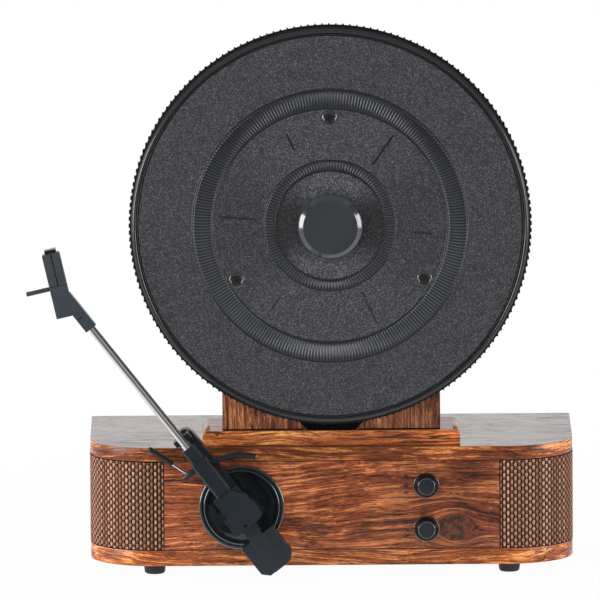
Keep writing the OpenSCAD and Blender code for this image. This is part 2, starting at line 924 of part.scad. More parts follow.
module column_back() {
  color(WOOD_DARK) difference() {
    translate([-column_w / 2, column_end - column_back_t, tier_top])
      cube([column_w, column_back_t, column_top - tier_top]);
    at_cover_screws() screw_hole(column_back_t + cut);
  }
}

module tower_bolts() {
  color(STEEL) at_tower_bolts() {
    translate([0, 0, -bolt_head_h]) cylinder(r = bolt_head_r, h = bolt_head_h);
    translate([0, 0, -bolt_head_h / 2])
      cylinder(r = bolt_r, h = bolt_head_h / 2 + top_t + tier_t + bolt_grip - bolt_tip_gap);
  }
}

module bearing_flange() {
  color(BLACK) difference() {
    to_front(0, column_front, spindle_z) {
      cylinder(r = flange_r, h = flange_t);
      translate([0, 0, -column_front_t]) cylinder(r = flange_hub_r, h = column_front_t + flange_t);
    }
    to_front(0, bush_back, spindle_z) cylinder(r = bush_r + press_gap, h = bush_back - bush_front);
    at_flange_screws() screw_hole(flange_t + cut);
  }
}

module bearing_bush() {
  color(BRASS) difference() {
    to_front(0, bush_back, spindle_z) {
      cylinder(r = bush_r, h = bush_back - bush_front);
      translate([0, 0, bush_back - bush_front - bush_lip_t]) cylinder(r = bush_lip_r, h = bush_lip_t);
    }
    to_front(0, bush_back + cut, spindle_z)
      cylinder(r = spindle_r + run_gap, h = bush_back - bush_front + 2 * cut);
  }
}

// Black plate over the motor's opening, with its lower corners cut at 45 degrees
module motor_plate() {
  z0 = tier_top - motor_z;
  z1 = plate_top - motor_z;
  half = plate_w / 2;
  color(BLACK) difference() {
    to_front(0, column_front, motor_z) difference() {
      linear_extrude(plate_t) polygon([
        [-half + plate_cut, z0], [half - plate_cut, z0], [half, z0 + plate_cut], [half, z1 - plate_cut],
        [half - plate_cut, z1], [-half + plate_cut, z1], [-half, z1 - plate_cut], [-half, z0 + plate_cut]
      ]);
      translate([0, 0, -cut]) cylinder(r = plate_hole_r, h = plate_t + 2 * cut);
    }
    at_plate_screws() screw_hole(plate_t + cut);
  }
}

module motor() {
  color(STEEL) difference() {
    to_front(0, motor_front + motor_l, motor_z) {
      cylinder(r = motor_r, h = motor_l);
      translate([0, 0, motor_l]) cylinder(r = motor_boss_r, h = column_front_t);
    }
    to_front(0, motor_front + motor_l / 2, motor_z)
      cylinder(r = motor_shaft_r + run_gap, h = motor_l + column_front_t);
  }
}

// Pulley with a lip at each end, on the motor's shaft
module motor_pulley() {
  end = pulley_l / 2;
  lip_r = pulley_r + pulley_lip;
  waist = end - pulley_lip_t;
  shaft_end = belt_y - motor_front - motor_l / 3;
  color(BRASS) to_front(0, belt_y, motor_z) rotate_extrude() polygon([
    [0, shaft_end], [motor_shaft_r, shaft_end], [motor_shaft_r, -end], [lip_r, -end], [lip_r, -waist],
    [pulley_r, -waist], [pulley_r, waist], [lip_r, waist], [lip_r, end], [0, end]
  ]);
}

// Outline of the belt's loop: an arc round the wheel and an arc round the pulley, joined by straight runs
function belt_points(grow) = concat(
  [for (i = [0:belt_steps]) let (a = -belt_lean + i * (180 + 2 * belt_lean) / belt_steps)
    (wheel_r + grow) * [cos(a), sin(a)]],
  [for (i = [0:belt_steps]) let (a = 180 + belt_lean + i * (180 - 2 * belt_lean) / belt_steps)
    (pulley_r + grow) * [cos(a), sin(a)] - [0, motor_drop]]
);

module drive_belt() {
  color(RUBBER) to_front(0, belt_y + belt_w / 2, spindle_z) linear_extrude(belt_w) difference() {
    polygon(belt_points(seat_gap + belt_t));
    polygon(belt_points(seat_gap));
  }
}

module spindle() {
  spindle_l = spindle_back - spindle_front - spindle_tip;
  color(STEEL) to_front(0, spindle_back, spindle_z) {
    cylinder(r = spindle_r, h = spindle_l);
    translate([0, 0, spindle_l]) cylinder(r1 = spindle_r, r2 = spindle_r - spindle_tip, h = spindle_tip);
  }
}

module spindle_clip() {
  color(STEEL) to_front(0, bush_back + seat_gap + clip_t, spindle_z) difference() {
    cylinder(r = clip_r, h = clip_t);
    translate([0, 0, -cut]) cylinder(r = spindle_r + press_gap, h = clip_t + 2 * cut);
  }
}

// Drive wheel: a disc with a plain rim for the belt and a hub that runs against the bush
module drive_wheel() {
  hub_l = bush_front - seat_gap - disc_back;
  color(BLACK) difference() {
    to_back(0, disc_back, spindle_z) rotate_extrude($fn = 180) polygon([
      [spindle_r + press_gap, 0], [wheel_r, 0], [wheel_r, wheel_t], [hub_r, wheel_t], [hub_r, hub_l],
      [spindle_r + press_gap, hub_l]
    ]);
    at_platter_screws() translate([0, 0, -platter_screw_l])
      cylinder(r = platter_screw_r + run_gap, h = platter_screw_l);
  }
}

// Puts its children at the platter's three screws, with z = 0 on the disc's back face
module at_platter_screws() {
  for (a = screw_angles)
    to_front(screw_circle_r * cos(a), disc_back, spindle_z + screw_circle_r * sin(a)) children();
}

// Radial groove in the plateau at an angle, between two radii
module tick(a, span) {
  rotate([0, 0, a]) translate([span[0], -tick_w / 2, disc_t - plateau_drop - tick_d])
    cube([span[1] - span[0], tick_w, tick_d + cut]);
}

module platter() {
  plateau_h = disc_t - plateau_drop;
  floor_h = plateau_h - label_drop;
  g = field_r;
  color(BLACK) difference() {
    to_front(0, disc_back, spindle_z) difference() {
      rotate_extrude($fn = 180) polygon([
        [spindle_r + run_gap, 0], [spindle_r + run_gap, floor_h], [label_r, floor_h],
        [label_r + label_wall, floor_h + label_lip], [ring_in_r, plateau_h], [plateau_r, plateau_h],
        [ring_out_r, disc_t], [g, disc_t], [g, disc_t - groove_d], [g + groove_w, disc_t - groove_d],
        [g + groove_w, disc_t - ridge_drop], [g + groove_w + ridge_w, disc_t - ridge_drop],
        [g + groove_w + ridge_w, disc_t - groove_d], [g + 2 * groove_w + ridge_w, disc_t - groove_d],
        [g + 2 * groove_w + ridge_w, disc_t], [skirt_r - rim_edge, disc_t], [skirt_r, disc_t - rim_edge],
        [skirt_r, disc_t - rim_d], [skirt_r - rim_t, disc_t - rim_d], [skirt_r - rim_t, 0]
      ]);
      for (i = [0:tick_pairs - 1]) tick(tick_first + 2 * i * tick_turn, tick_long);
      for (i = [0:tick_pairs - 1]) tick(tick_first + (2 * i + 1) * tick_turn, tick_short);
    }
    at_platter_screws() {
      translate([0, 0, -cut]) cylinder(r = platter_screw_r + run_gap, h = disc_t + 2 * cut);
      translate([0, 0, plateau_h - boss_d]) cylinder(r = boss_r, h = disc_t);
    }
  }
}

// Outline of the toothed band: one small flat-topped tooth at each step
function tooth_points(r) = [
  for (i = [0:tooth_count - 1])
    for (p = [[-tooth_foot, 0], [-tooth_tip, tooth_h], [tooth_tip, tooth_h], [tooth_foot, 0]])
      let (a = i * tooth_pitch + p[0] / 2 / r * 180 / PI) (r + p[1]) * [cos(a), sin(a)]
];

module grip_band() {
  l = rim_d - rim_edge;
  color(RUBBER) to_front(0, disc_back - disc_t + rim_d, spindle_z) difference() {
    linear_extrude(l) polygon(tooth_points(platter_r));
    translate([0, 0, -cut]) cylinder(r = platter_r - band_t, h = l + 2 * cut, $fn = 4 * tooth_count);
  }
}

module platter_screws() {
  seat = disc_t - plateau_drop - boss_d;
  color(STEEL) at_platter_screws() {
    translate([0, 0, seat]) cylinder(r = platter_screw_head_r, h = platter_screw_head_h);
    translate([0, 0, -platter_screw_l + screw_tip_gap])
      cylinder(r = platter_screw_r, h = platter_screw_l - screw_tip_gap + seat);
  }
}

// Record clamp: a puck with a bevelled rim, pushed over the spindle
module record_clamp() {
  face = clamp_r - clamp_bevel;
  color(GLOSS) to_front(0, clamp_back, spindle_z) rotate_extrude() polygon([
    [spindle_r + run_gap, 0], [clamp_r - clamp_foot, 0], [clamp_r, clamp_foot], [clamp_r, clamp_rim_h],
    [face, clamp_h - clamp_edge], [face - clamp_edge, clamp_h], [0, clamp_h], [0, clamp_h - clamp_cap],
    [spindle_r + run_gap, clamp_h - clamp_cap]
  ]);
}

// Knob: a thin skirt, a waist that tapers forward and a flat face
module knob(z) {
  color(GLOSS) to_front(knob_x, front_y - knob_gap, z) difference() {
    rotate_extrude() polygon([
      [0, 0], [knob_r, 0], [knob_r, knob_skirt_h - knob_edge], [knob_r - knob_edge, knob_skirt_h],
      [knob_shoulder_r, knob_shoulder_h], [knob_face_r + knob_edge, knob_h - knob_edge / 2],
      [knob_face_r, knob_h], [0, knob_h]
    ]);
    translate([0, 0, -cut]) cylinder(r = knob_shaft_r + press_gap, h = knob_bore_d + cut);
  }
}

// Shaft that runs from inside the switch into the knob
module knob_shaft(z) {
  back = front_y + panel_t + switch_d / 2;
  color(STEEL) to_front(knob_x, back, z)
    cylinder(r = knob_shaft_r, h = back - front_y + knob_gap + knob_bore_d - seat_gap);
}

module speed_knob() {
  knob(knob_z[0]);
}

module speed_shaft() {
  knob_shaft(knob_z[0]);
}

module function_knob() {
  knob(knob_z[1]);
}

module function_shaft() {
  knob_shaft(knob_z[1]);
}

// Rotary switches behind the panel, with their threaded bushes through it
module rotary_switches() {
  color(STEEL) for (z = knob_z) difference() {
    union() {
      translate([knob_x - switch_w / 2, front_y + panel_t, z - switch_h / 2])
        cube([switch_w, switch_d, switch_h]);
      to_front(knob_x, front_y + panel_t, z) cylinder(r = switch_bush_r, h = panel_t);
    }
    to_front(knob_x, front_y + panel_t + switch_d / 2 + seat_gap, z)
      cylinder(r = knob_shaft_r + run_gap, h = panel_t + switch_d);
  }
}

// Arm base: spigot through the panel, dished flange and the post that carries the rest
module arm_base() {
  post_h = front_y - post_front;
  line_r = dish_r - dish_lip;
  ring_r = line_r - dish_line_w;
  in_r = ring_r - dish_ring_w;
  ring_h = dish_proud - dish_ring_drop;
  color(GLOSS) to_front(-arm_x, front_y, arm_z) rotate_extrude() polygon([
    [arm_bush_r + press_gap, -spigot_l], [spigot_r, -spigot_l], [spigot_r, 0], [dish_r, 0],
    [dish_r, dish_proud - dish_edge], [dish_r - dish_edge, dish_proud], [line_r, dish_proud],
    [line_r, dish_proud - dish_line_d], [ring_r, dish_proud - dish_line_d], [ring_r, ring_h],
    [in_r, ring_h], [in_r - dish_slope, ring_h - 2 * dish_slope], [dish_hollow_r, dish_floor + cove_h],
    [post_r + cove_w, dish_floor], [post_r, dish_floor], [post_r, post_h], [arm_bush_r + press_gap, post_h]
  ]);
}

module arm_nut() {
  color(STEEL) to_back(-arm_x, front_y + panel_t, arm_z) difference() {
    cylinder(r = nut_r, h = nut_t, $fn = 6);
    translate([0, 0, -cut]) cylinder(r = spigot_r + press_gap, h = nut_t + 2 * cut);
  }
}

module arm_bush() {
  l = front_y + spigot_l - post_front;
  color(BRASS) to_front(-arm_x, front_y + spigot_l, arm_z) difference() {
    cylinder(r = arm_bush_r, h = l);
    translate([0, 0, -cut]) cylinder(r = bush_in_r + run_gap, h = l + 2 * cut);
  }
}

// Frame of the resting arm: X to the arm's right, Z from the pivot to the headshell
module arm_frame() {
  translate([-arm_x, 0, arm_z]) rotate([0, -arm_rest_deg, 0]) children();
}

// A slab with a front view as its outline, from its back plane forward
module slab(y_back, h) {
  translate([0, y_back, 0]) rotate([90, 0, 0]) linear_extrude(h) children();
}

// Arm rest: ring on the post, beam along the resting arm and a cradle with two jaws
module arm_rest() {
  beam_s = rest_end - rest_w / 2;
  color(BLACK) arm_frame() difference() {
    union() {
      slab(rest_back, rest_t) {
        circle(rest_ring_r);
        translate([rest_side - rest_w / 2, 0]) square([rest_w, beam_s]);
        translate([rest_side, beam_s]) circle(rest_w / 2);
      }
      translate([-jaw_in - jaw_t, cradle_front, jaw_s])
        cube([2 * (jaw_in + jaw_t), rest_front - cradle_front + cut, jaw_l]);
      for (side = [-1, 1]) translate([side * (jaw_in + jaw_t / 2) - jaw_t / 2, jaw_front, jaw_s])
        cube([jaw_t, rest_front - jaw_front + cut, jaw_l]);
    }
    to_front(0, rest_back + cut, 0) cylinder(r = post_r + press_gap, h = rest_t + 2 * cut);
    to_front(lifter_t, rest_back + cut, lifter_s)
      cylinder(r = lifter_post_r + run_gap, h = rest_t + 2 * cut);
    translate([lifter_t - cam_w, rest_front + guide_l, cue_s - cavity_half])
      cube([2 * cam_w, rest_t, 2 * cavity_half]);
    translate([-rest_w, cue_y, cue_s]) rotate([0, 90, 0])
      cylinder(r = cue_pin_r + run_gap, h = rest_w + lifter_t + cam_w);
  }
}

// Turret: round foot on the pivot shaft and two ears that hold the tilt pins
module arm_turret() {
  color(BLACK) arm_frame() difference() {
    union() {
      to_front(0, fork_back, 0) cylinder(r = fork_r, h = fork_t);
      translate([-ear_in - ear_t, fork_front, -ear_half]) cube([2 * (ear_in + ear_t), fork_t, 2 * ear_half]);
      for (side = [-1, 1]) translate([side * (ear_in + ear_t / 2) - ear_t / 2, ear_front, -ear_half])
        cube([ear_t, fork_back - ear_front, 2 * ear_half]);
    }
    to_front(0, fork_back + cut, 0) cylinder(r = bush_in_r + press_gap, h = fork_t + 2 * cut);
    translate([-cap_half - cut, pin_y, 0]) rotate([0, 90, 0])
      cylinder(r = pin_r + press_gap, h = 2 * (cap_half + cut));
  }
}

module pivot_shaft() {
  back = front_y + spigot_l + seat_gap + shaft_head_t;
  color(STEEL) to_front(-arm_x, back, arm_z) {
    cylinder(r = shaft_head_r, h = shaft_head_t);
    cylinder(r = bush_in_r, h = back - fork_front);
  }
}

module tilt_pins() {
  color(STEEL) arm_frame() for (side = [-1, 1]) translate([side * (ear_in + ear_t - pin_reach / 2), pin_y, 0])
    rotate([0, 90, 0]) cylinder(r = pin_r, h = pin_reach, center = true);
}

// Section of the sleeve: a rectangle with cut corners
module sleeve_section(w, h) {
  c = sleeve_cut;
  polygon([
    [-w / 2 + c, -h / 2], [w / 2 - c, -h / 2], [w / 2, -h / 2 + c], [w / 2, h / 2 - c],
    [w / 2 - c, h / 2], [-w / 2 + c, h / 2], [-w / 2, h / 2 - c], [-w / 2, -h / 2 + c]
  ]);
}

// Carrier: block between the turret's ears, with the stepped sleeve that grips the tube
module arm_carrier() {
  color(BLACK) arm_frame() difference() {
    union() {
      translate([-carrier_half, block_front, carrier_back_s])
        cube([2 * carrier_half, block_h, carrier_s - carrier_back_s]);
      translate([0, tube_y, carrier_s - cut]) linear_extrude(sleeve_step - carrier_s + cut)
        sleeve_section(sleeve_w, sleeve_h);
      translate([0, tube_y, sleeve_step - cut]) linear_extrude(sleeve_end - sleeve_step + cut)
        sleeve_section(sleeve_end_w, sleeve_end_h);
    }
    translate([0, tube_y, tube_start]) cylinder(r = tube_r + press_gap, h = sleeve_end);
    translate([-cap_half - cut, pin_y, 0]) rotate([0, 90, 0])
      cylinder(r = pin_r + run_gap, h = 2 * (cap_half + cut));
  }
}

// Six-sided cap over the carrier, with a round screw boss
module pivot_cap() {
  color(GLOSS) arm_frame() difference() {
    union() {
      slab(block_front, cap_t) polygon([
        [-cap_front_half, carrier_s], [cap_front_half, carrier_s],
        [cap_shoulder_half, carrier_s - cap_shoulder], [cap_half, carrier_back_s + cap_corner],
        [cap_rear_half, carrier_back_s],
        [-cap_half + cap_corner_w, carrier_back_s], [-cap_half, carrier_back_s + cap_corner]
      ]);
      to_front(cap_screw_t, block_front - cap_t, cap_screw_s) cylinder(r = cap_boss_r, h = cap_rise);
    }
    to_front(cap_screw_t, block_front - cap_t - cap_rise / 2, cap_screw_s)
      cylinder(r = cap_dip_r, h = cap_rise);
    to_front(cap_screw_t, block_front - cap_t + cap_socket_d, cap_screw_s)
      cylinder(r = cap_socket_r, h = cap_socket_d + cap_rise + cut, $fn = 6);
  }
}

// Chrome tube with two collars where it enters the sleeve
module arm_tube() {
  color(CHROME) arm_frame() translate([0, tube_y, 0]) difference() {
    union() {
      translate([0, 0, tube_start]) cylinder(r = tube_r, h = tube_end - tube_start);
      for (i = [0:collar_count - 1])
        translate([0, 0, sleeve_end + i * collar_pitch]) cylinder(r = collar_r, h = collar_l);
    }
    translate([0, 0, tube_start - cut]) cylinder(r = tube_bore_r, h = tube_end - tube_start + 2 * cut);
  }
}

// Frame of the headshell: X to its right, Z forward along it, from the cartridge's rear end
module head_frame() {
  arm_frame() translate([head_side, 0, head_s]) rotate([0, head_deg, 0]) children();
}

// Headshell: neck on the tube, angled shell and a thin finger lift at its side
module headshell() {
  head_back = head_front + head_h;
  color(BLACK) difference() {
    union() {
      head_frame() slab(head_back, head_h) translate([-head_w / 2, -head_l]) square([head_w, head_l]);
      arm_frame() slab(head_back, head_h)
        translate([-neck_w / 2, neck_s]) square([neck_w, neck_grip + neck_over]);
      head_frame() slab(head_back, finger_t)
        translate([-head_w / 2 - finger_l, -finger_w]) square([finger_l + cut, finger_w]);
    }
    arm_frame() translate([0, tube_y, neck_s - cut])
      cylinder(r = tube_r + press_gap, h = neck_grip + cut + press_gap);
    arm_frame() translate([-neck_w / 2 - cut, head_front - cut, neck_slit_s])
      cube([neck_w * 3 / 4, neck_slit_d + cut, neck_slit_w]);
  }
}

// Cartridge: a box with cut front corners and a groove along its middle
module cartridge() {
  half = head_w / 2;
  color(GLOSS) head_frame() difference() {
    slab(cartridge_front + cartridge_h, cartridge_h) polygon([
      [-half, 0], [half, 0], [half, cartridge_l - cartridge_cut], [half - cartridge_cut, cartridge_l],
      [-half + cartridge_cut, cartridge_l], [-half, cartridge_l - cartridge_cut]
    ]);
    translate([-cartridge_groove / 2, cartridge_front - cut, -cut])
      cube([cartridge_groove, cartridge_groove_d + cut, cartridge_l + 2 * cut]);
  }
}

// Stylus holder under the cartridge, with a nose in front of it and a needle below
module stylus() {
  back = cartridge_front + cartridge_h;
  color(RED) head_frame() {
    translate([-stylus_w / 2, back, stylus_from])
      cube([stylus_w, stylus_h, cartridge_l + stylus_nose - stylus_from]);
    translate([-stylus_w / 2, back - stylus_nose_h, cartridge_l])
      cube([stylus_w, stylus_nose_h + cut, stylus_nose]);
    to_back(0, back + stylus_h, tip_u) cylinder(r1 = tip_r, r2 = tip_r / 5, h = tip_h);
  }
}

// Counterweight: stem on the carrier, a broad block with cut rear corners and a raised middle band
module counterweight() {
  half = weight_w / 2;
  s0 = carrier_back_s - stem_l;
  s1 = s0 - weight_l;
  color(BLACK) arm_frame() translate([weight_side, 0, 0]) {
    slab(weight_back, weight_h) polygon([
      [-half + weight_edge, s0], [half - weight_edge, s0], [half, s0 - weight_edge], [half, s1 + weight_cut],
      [half - weight_cut, s1], [-half + weight_cut, s1], [-half, s1 + weight_cut], [-half, s0 - weight_edge]
    ]);
    slab(weight_back, weight_h + weight_rise)
      translate([-stem_w / 2, s1]) square([stem_w, carrier_back_s - s1]);
  }
}

// Frame of the cue lever, on its turning axis
module cue_frame() {
  arm_frame() translate([0, cue_y, cue_s]) children();
}

// Frame of the cue rod, which leans away from the arm
module cue_rod_frame() {
  cue_frame() translate([cue_rod_t, 0, 0]) rotate([0, -cue_lean, 0]) children();
}

// Cue lever: bar beside the rest, and a pin with its cam inside it
module cue_lever() {
  bar_in = rest_side - rest_w / 2 - seat_gap;
  pin_end = lifter_t + cam_w / 2;
  color(BLACK) difference() {
    cue_frame() {
      translate([cue_bar_end, 0, 0]) rotate([0, 90, 0]) cylinder(r = cue_bar_r, h = bar_in - cue_bar_end);
      translate([bar_in - cut, 0, 0]) rotate([0, 90, 0]) cylinder(r = cue_pin_r, h = pin_end - bar_in + cut);
      translate([lifter_t - cam_w / 2, -cam_e * cos(cam_deg), -cam_e * sin(cam_deg)])
        rotate([0, 90, 0]) cylinder(r = cam_r, h = cam_w);
    }
    cue_rod_frame() cylinder(r = cue_rod_r + press_gap, h = cue_rod_l);
  }
}

module cue_rod() {
  color(CHROME) cue_rod_frame() cylinder(r = cue_rod_r, h = cue_rod_l + cue_grip_l / 2);
}

// Grip: a round sleeve with a domed end, pushed over the rod
module cue_grip() {
  color(RUBBER) cue_rod_frame() translate([0, 0, cue_rod_l]) difference() {
    union() {
      cylinder(r = cue_grip_r, h = cue_grip_l - cue_grip_r);
      translate([0, 0, cue_grip_l - cue_grip_r]) sphere(r = cue_grip_r);
    }
    translate([0, 0, -cut]) cylinder(r = cue_rod_r + press_gap, h = cue_grip_l / 2 + cut + press_gap);
  }
}

// Lifter: a round bar curved about the pivot, on a post that slides in the rest
module lifter() {
  sweep = lifter_to - lifter_from;
  boss_l = 2 * (lifter_bar_r + lifter_boss_over);
  color(BLACK) arm_frame() {
    to_front(0, lifter_y, 0) rotate_extrude(angle = sweep, start = 90 - lifter_to)
      translate([lifter_r, 0]) circle(lifter_bar_r);
    to_front(lifter_t, lifter_y + boss_l / 2, lifter_s) cylinder(r = lifter_boss_r, h = boss_l);
    to_front(lifter_t, post_back, lifter_s) cylinder(r = lifter_post_r, h = post_back - lifter_y);
  }
}

bottom_board();
top_board();
front_panel();
side_panels();
back_panel();
corner_blocks();
grille_frames();
left_grille_cloth();
right_grille_cloth();
speaker_baffles();
speaker_frames();
speaker_cones();
feet();
wood_screws();
main_board();
board_standoffs();
jack_plate();
rca_sockets();
aux_socket();
power_inlet();
tier_plate();
column();
column_back();
tower_bolts();
bearing_flange();
bearing_bush();
motor_plate();
motor();
motor_pulley();
drive_belt();
spindle();
spindle_clip();
drive_wheel();
platter();
grip_band();
platter_screws();
record_clamp();
speed_knob();
speed_shaft();
function_knob();
function_shaft();
rotary_switches();
arm_base();
arm_nut();
arm_bush();
arm_rest();
arm_turret();
pivot_shaft();
tilt_pins();
arm_carrier();
pivot_cap();
arm_tube();
headshell();
cartridge();
stylus();
counterweight();
cue_lever();
cue_rod();
cue_grip();
lifter();
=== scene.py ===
import json
import bpy
import numpy as np
from mathutils import Matrix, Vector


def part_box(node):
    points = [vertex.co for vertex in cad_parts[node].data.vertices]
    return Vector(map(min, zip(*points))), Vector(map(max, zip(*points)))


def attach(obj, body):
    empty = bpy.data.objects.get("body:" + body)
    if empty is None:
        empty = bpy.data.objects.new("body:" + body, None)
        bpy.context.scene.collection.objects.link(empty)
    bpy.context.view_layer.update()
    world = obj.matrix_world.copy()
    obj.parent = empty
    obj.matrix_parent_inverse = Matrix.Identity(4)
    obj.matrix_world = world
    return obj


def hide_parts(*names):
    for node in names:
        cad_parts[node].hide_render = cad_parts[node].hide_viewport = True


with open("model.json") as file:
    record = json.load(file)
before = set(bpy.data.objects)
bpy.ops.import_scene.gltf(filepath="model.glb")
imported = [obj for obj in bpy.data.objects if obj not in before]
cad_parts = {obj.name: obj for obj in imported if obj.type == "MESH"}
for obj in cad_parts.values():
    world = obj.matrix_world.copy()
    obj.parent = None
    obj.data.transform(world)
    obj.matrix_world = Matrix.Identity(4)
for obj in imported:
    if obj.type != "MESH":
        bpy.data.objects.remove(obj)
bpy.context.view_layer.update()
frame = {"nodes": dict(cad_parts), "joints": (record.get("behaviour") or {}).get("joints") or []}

nodes = frame["nodes"]

# Camera: a long lens a little above the player, looking slightly down on it,
# as product pictures are taken so that the uprights stay parallel.
azimuth, pitch, roll = np.radians((0.115, 8.553, -0.373))
camera_place = (-0.0461, -11.4056, 1.9187)
focal_mm, film_mm, far_m = 900, 36, 100


def stand(axes, place):
    """The matrix of an object at place whose own X, Y and Z lie along the three axes given."""
    return Matrix(np.vstack((np.column_stack((*axes, place)), (0, 0, 0, 1))).tolist())


ahead = np.array((np.sin(azimuth) * np.cos(pitch), np.cos(azimuth) * np.cos(pitch), -np.sin(pitch)))
level_right = np.cross(ahead, (0, 0, 1))
level_right /= np.linalg.norm(level_right)
level_up = np.cross(level_right, ahead)
right = np.cos(roll) * level_right + np.sin(roll) * level_up
up = np.cos(roll) * level_up - np.sin(roll) * level_right
lens = bpy.data.cameras.new("camera")
lens.lens = focal_mm
lens.sensor_width = film_mm
lens.clip_end = far_m
camera = bpy.data.objects.new("camera", lens)
camera.matrix_world = stand((right, up, -ahead), camera_place)
bpy.context.scene.collection.objects.link(camera)
bpy.context.scene.camera = camera
bpy.context.scene.view_settings.view_transform = "Standard"

# Studio: a round paper floor in a white room, lit by softboxes. Floor and room look white to the lens,
# the floor with a faint contact shadow. In reflections the side behind the lens is dim with a pale strip,
# and a dark gap goes round above the strip, as flags on stands make it.
floor_rings, floor_turns = (0.0005, 0.4, 0.8, 1.6), 96
floor_dim_y, floor_shown_r = (-0.45, -0.12), (0.25, 0.7)
floor_grey, floor_dim, floor_shown, floor_mirrored = (0.82, 0.82, 0.82, 1), 0.16, 0.965, 0.95
room_front, room_window, room_back, room_top = 0.12, 0.40, 1.0, 0.30
window_high, roof_high, walls_turn, strip_turn = 0.30, 0.90, (-0.85, 0.05), (-0.6, -0.2)
gap_share, strip_level, gap_band, strip_band = 0.85, 0.5, (0.24, 0.32, 0.62, 0.75), (0.06, 0.10, 0.20, 0.24)
white = (1, 1, 1, 1)


def fill(tree, made, values):
    """Gives a node's inputs, by name or number, their values: a socket is wired in, any other is set."""
    for socket, value in dict(values).items():
        if isinstance(value, bpy.types.NodeSocket):
            tree.links.new(value, made.inputs[socket])
        else:
            made.inputs[socket].default_value = value


def shader(tree, kind, values=(), **options):
    """One shader node: options are its own settings, and values go to its inputs."""
    made = tree.nodes.new("ShaderNode" + kind)
    for option, value in options.items():
        setattr(made, option, value)
    fill(tree, made, values)
    return made


def reckon(tree, operation, *terms, clamp=False):
    """The result of one Math node on its terms, numbers or sockets."""
    return shader(tree, "Math", enumerate(terms), operation=operation, use_clamp=clamp).outputs[0]


def product(tree, first, *others):
    """first times each of the others."""
    for other in others:
        first = reckon(tree, "MULTIPLY", first, other)
    return first


def rise(tree, value, low, high, bottom=0.0, top=1.0):
    """Goes from bottom to top in a smooth step while value goes from low to high."""
    values = {"Value": value, "From Min": low, "From Max": high, "To Min": bottom, "To Max": top}
    return shader(tree, "MapRange", values, interpolation_type="SMOOTHSTEP").outputs[0]


def span(tree, value, low, low_full, high_full, high):
    """Rises from 0 at low to 1 at low_full, and falls from 1 at high_full to 0 at high."""
    return product(tree, rise(tree, value, low, low_full), rise(tree, value, high_full, high, 1.0, 0.0))


def place_of(tree):
    """The Object coordinates of the point, as one vector."""
    return shader(tree, "TexCoord").outputs["Object"]


def parts_of(tree, vector):
    """The X, Y and Z of a vector, by name."""
    return shader(tree, "SeparateXYZ", {0: vector}).outputs


def length_of(tree, vector):
    """The length of a vector."""
    return shader(tree, "VectorMath", {0: vector}, operation="LENGTH").outputs["Value"]


def skin(name, grid, inside=(0, 0, 0), around=(False, False)):
    """A mesh object over a grid of points: one quad between each four neighbours, with the rows or
    columns joined end to end where around says so. The faces are turned so that the sum of
    (face centre - inside) . (face normal x area) is positive, which is outwards."""
    rows, columns = grid.shape[:2]
    number = np.arange(rows * columns).reshape(rows, columns)
    number = np.concatenate([number, number[:1]]) if around[0] else number
    number = np.concatenate([number, number[:, :1]], axis=1) if around[1] else number
    corners = [number[:-1, :-1], number[1:, :-1], number[1:, 1:], number[:-1, 1:]]
    quads = np.stack(corners, -1).reshape(-1, 4)
    points = grid.reshape(-1, 3)
    corner = points[quads]
    normal = np.cross(corner[:, 2] - corner[:, 0], corner[:, 3] - corner[:, 1])
    if ((corner.mean(1) - np.array(inside)) * normal).sum() < 0:
        quads = quads[:, ::-1]
    mesh = bpy.data.meshes.new(name)
    mesh.from_pydata(points.tolist(), [], quads.tolist())
    made = bpy.data.objects.new(name, mesh)
    bpy.context.scene.collection.objects.link(made)
    return made


def softbox(name, place, aim, width, height, watts, mirrored=True):
    """A rectangular area lamp at place that faces aim, hidden from reflections unless mirrored."""
    lamp = bpy.data.lights.new(name, "AREA")
    lamp.shape = "RECTANGLE"
    lamp.size = width
    lamp.size_y = height
    lamp.energy = watts
    made = bpy.data.objects.new(name, lamp)
    back = np.array(place, float) - np.array(aim, float)
    back /= np.linalg.norm(back)
    side = np.cross((0, 0, 1), back)
    side /= np.linalg.norm(side)
    made.matrix_world = stand((side, np.cross(back, side), back), place)
    made.visible_camera = False
    made.visible_glossy = mirrored
    bpy.context.scene.collection.objects.link(made)


room = bpy.data.worlds.new("room")
bpy.context.scene.world = room
room.use_nodes = True
tree = room.node_tree
tree.nodes.clear()
ray = shader(tree, "LightPath").outputs
way = parts_of(tree, shader(tree, "TexCoord").outputs["Generated"])
front = rise(tree, way["Z"], 0.0, window_high, room_front, room_window)
walls = rise(tree, way["Y"], *walls_turn, front, room_back)
level = product(tree, walls, rise(tree, way["Z"], window_high, roof_high, 1.0, room_top))
seen = reckon(tree, "MAXIMUM", ray["Is Camera Ray"], ray["Is Transmission Ray"])
level = reckon(tree, "MAXIMUM", level, seen)
gap = product(tree, ray["Is Glossy Ray"], span(tree, way["Z"], *gap_band), gap_share)
level = product(tree, level, reckon(tree, "SUBTRACT", 1.0, gap))
strip = product(tree, span(tree, way["Z"], *strip_band), rise(tree, way["Y"], *strip_turn, 1.0, 0.0))
level = reckon(tree, "ADD", level, product(tree, ray["Is Glossy Ray"], strip, strip_level))
backdrop = shader(tree, "Background", {"Color": white, "Strength": level})
tree.links.new(backdrop.outputs[0], shader(tree, "OutputWorld").inputs[0])

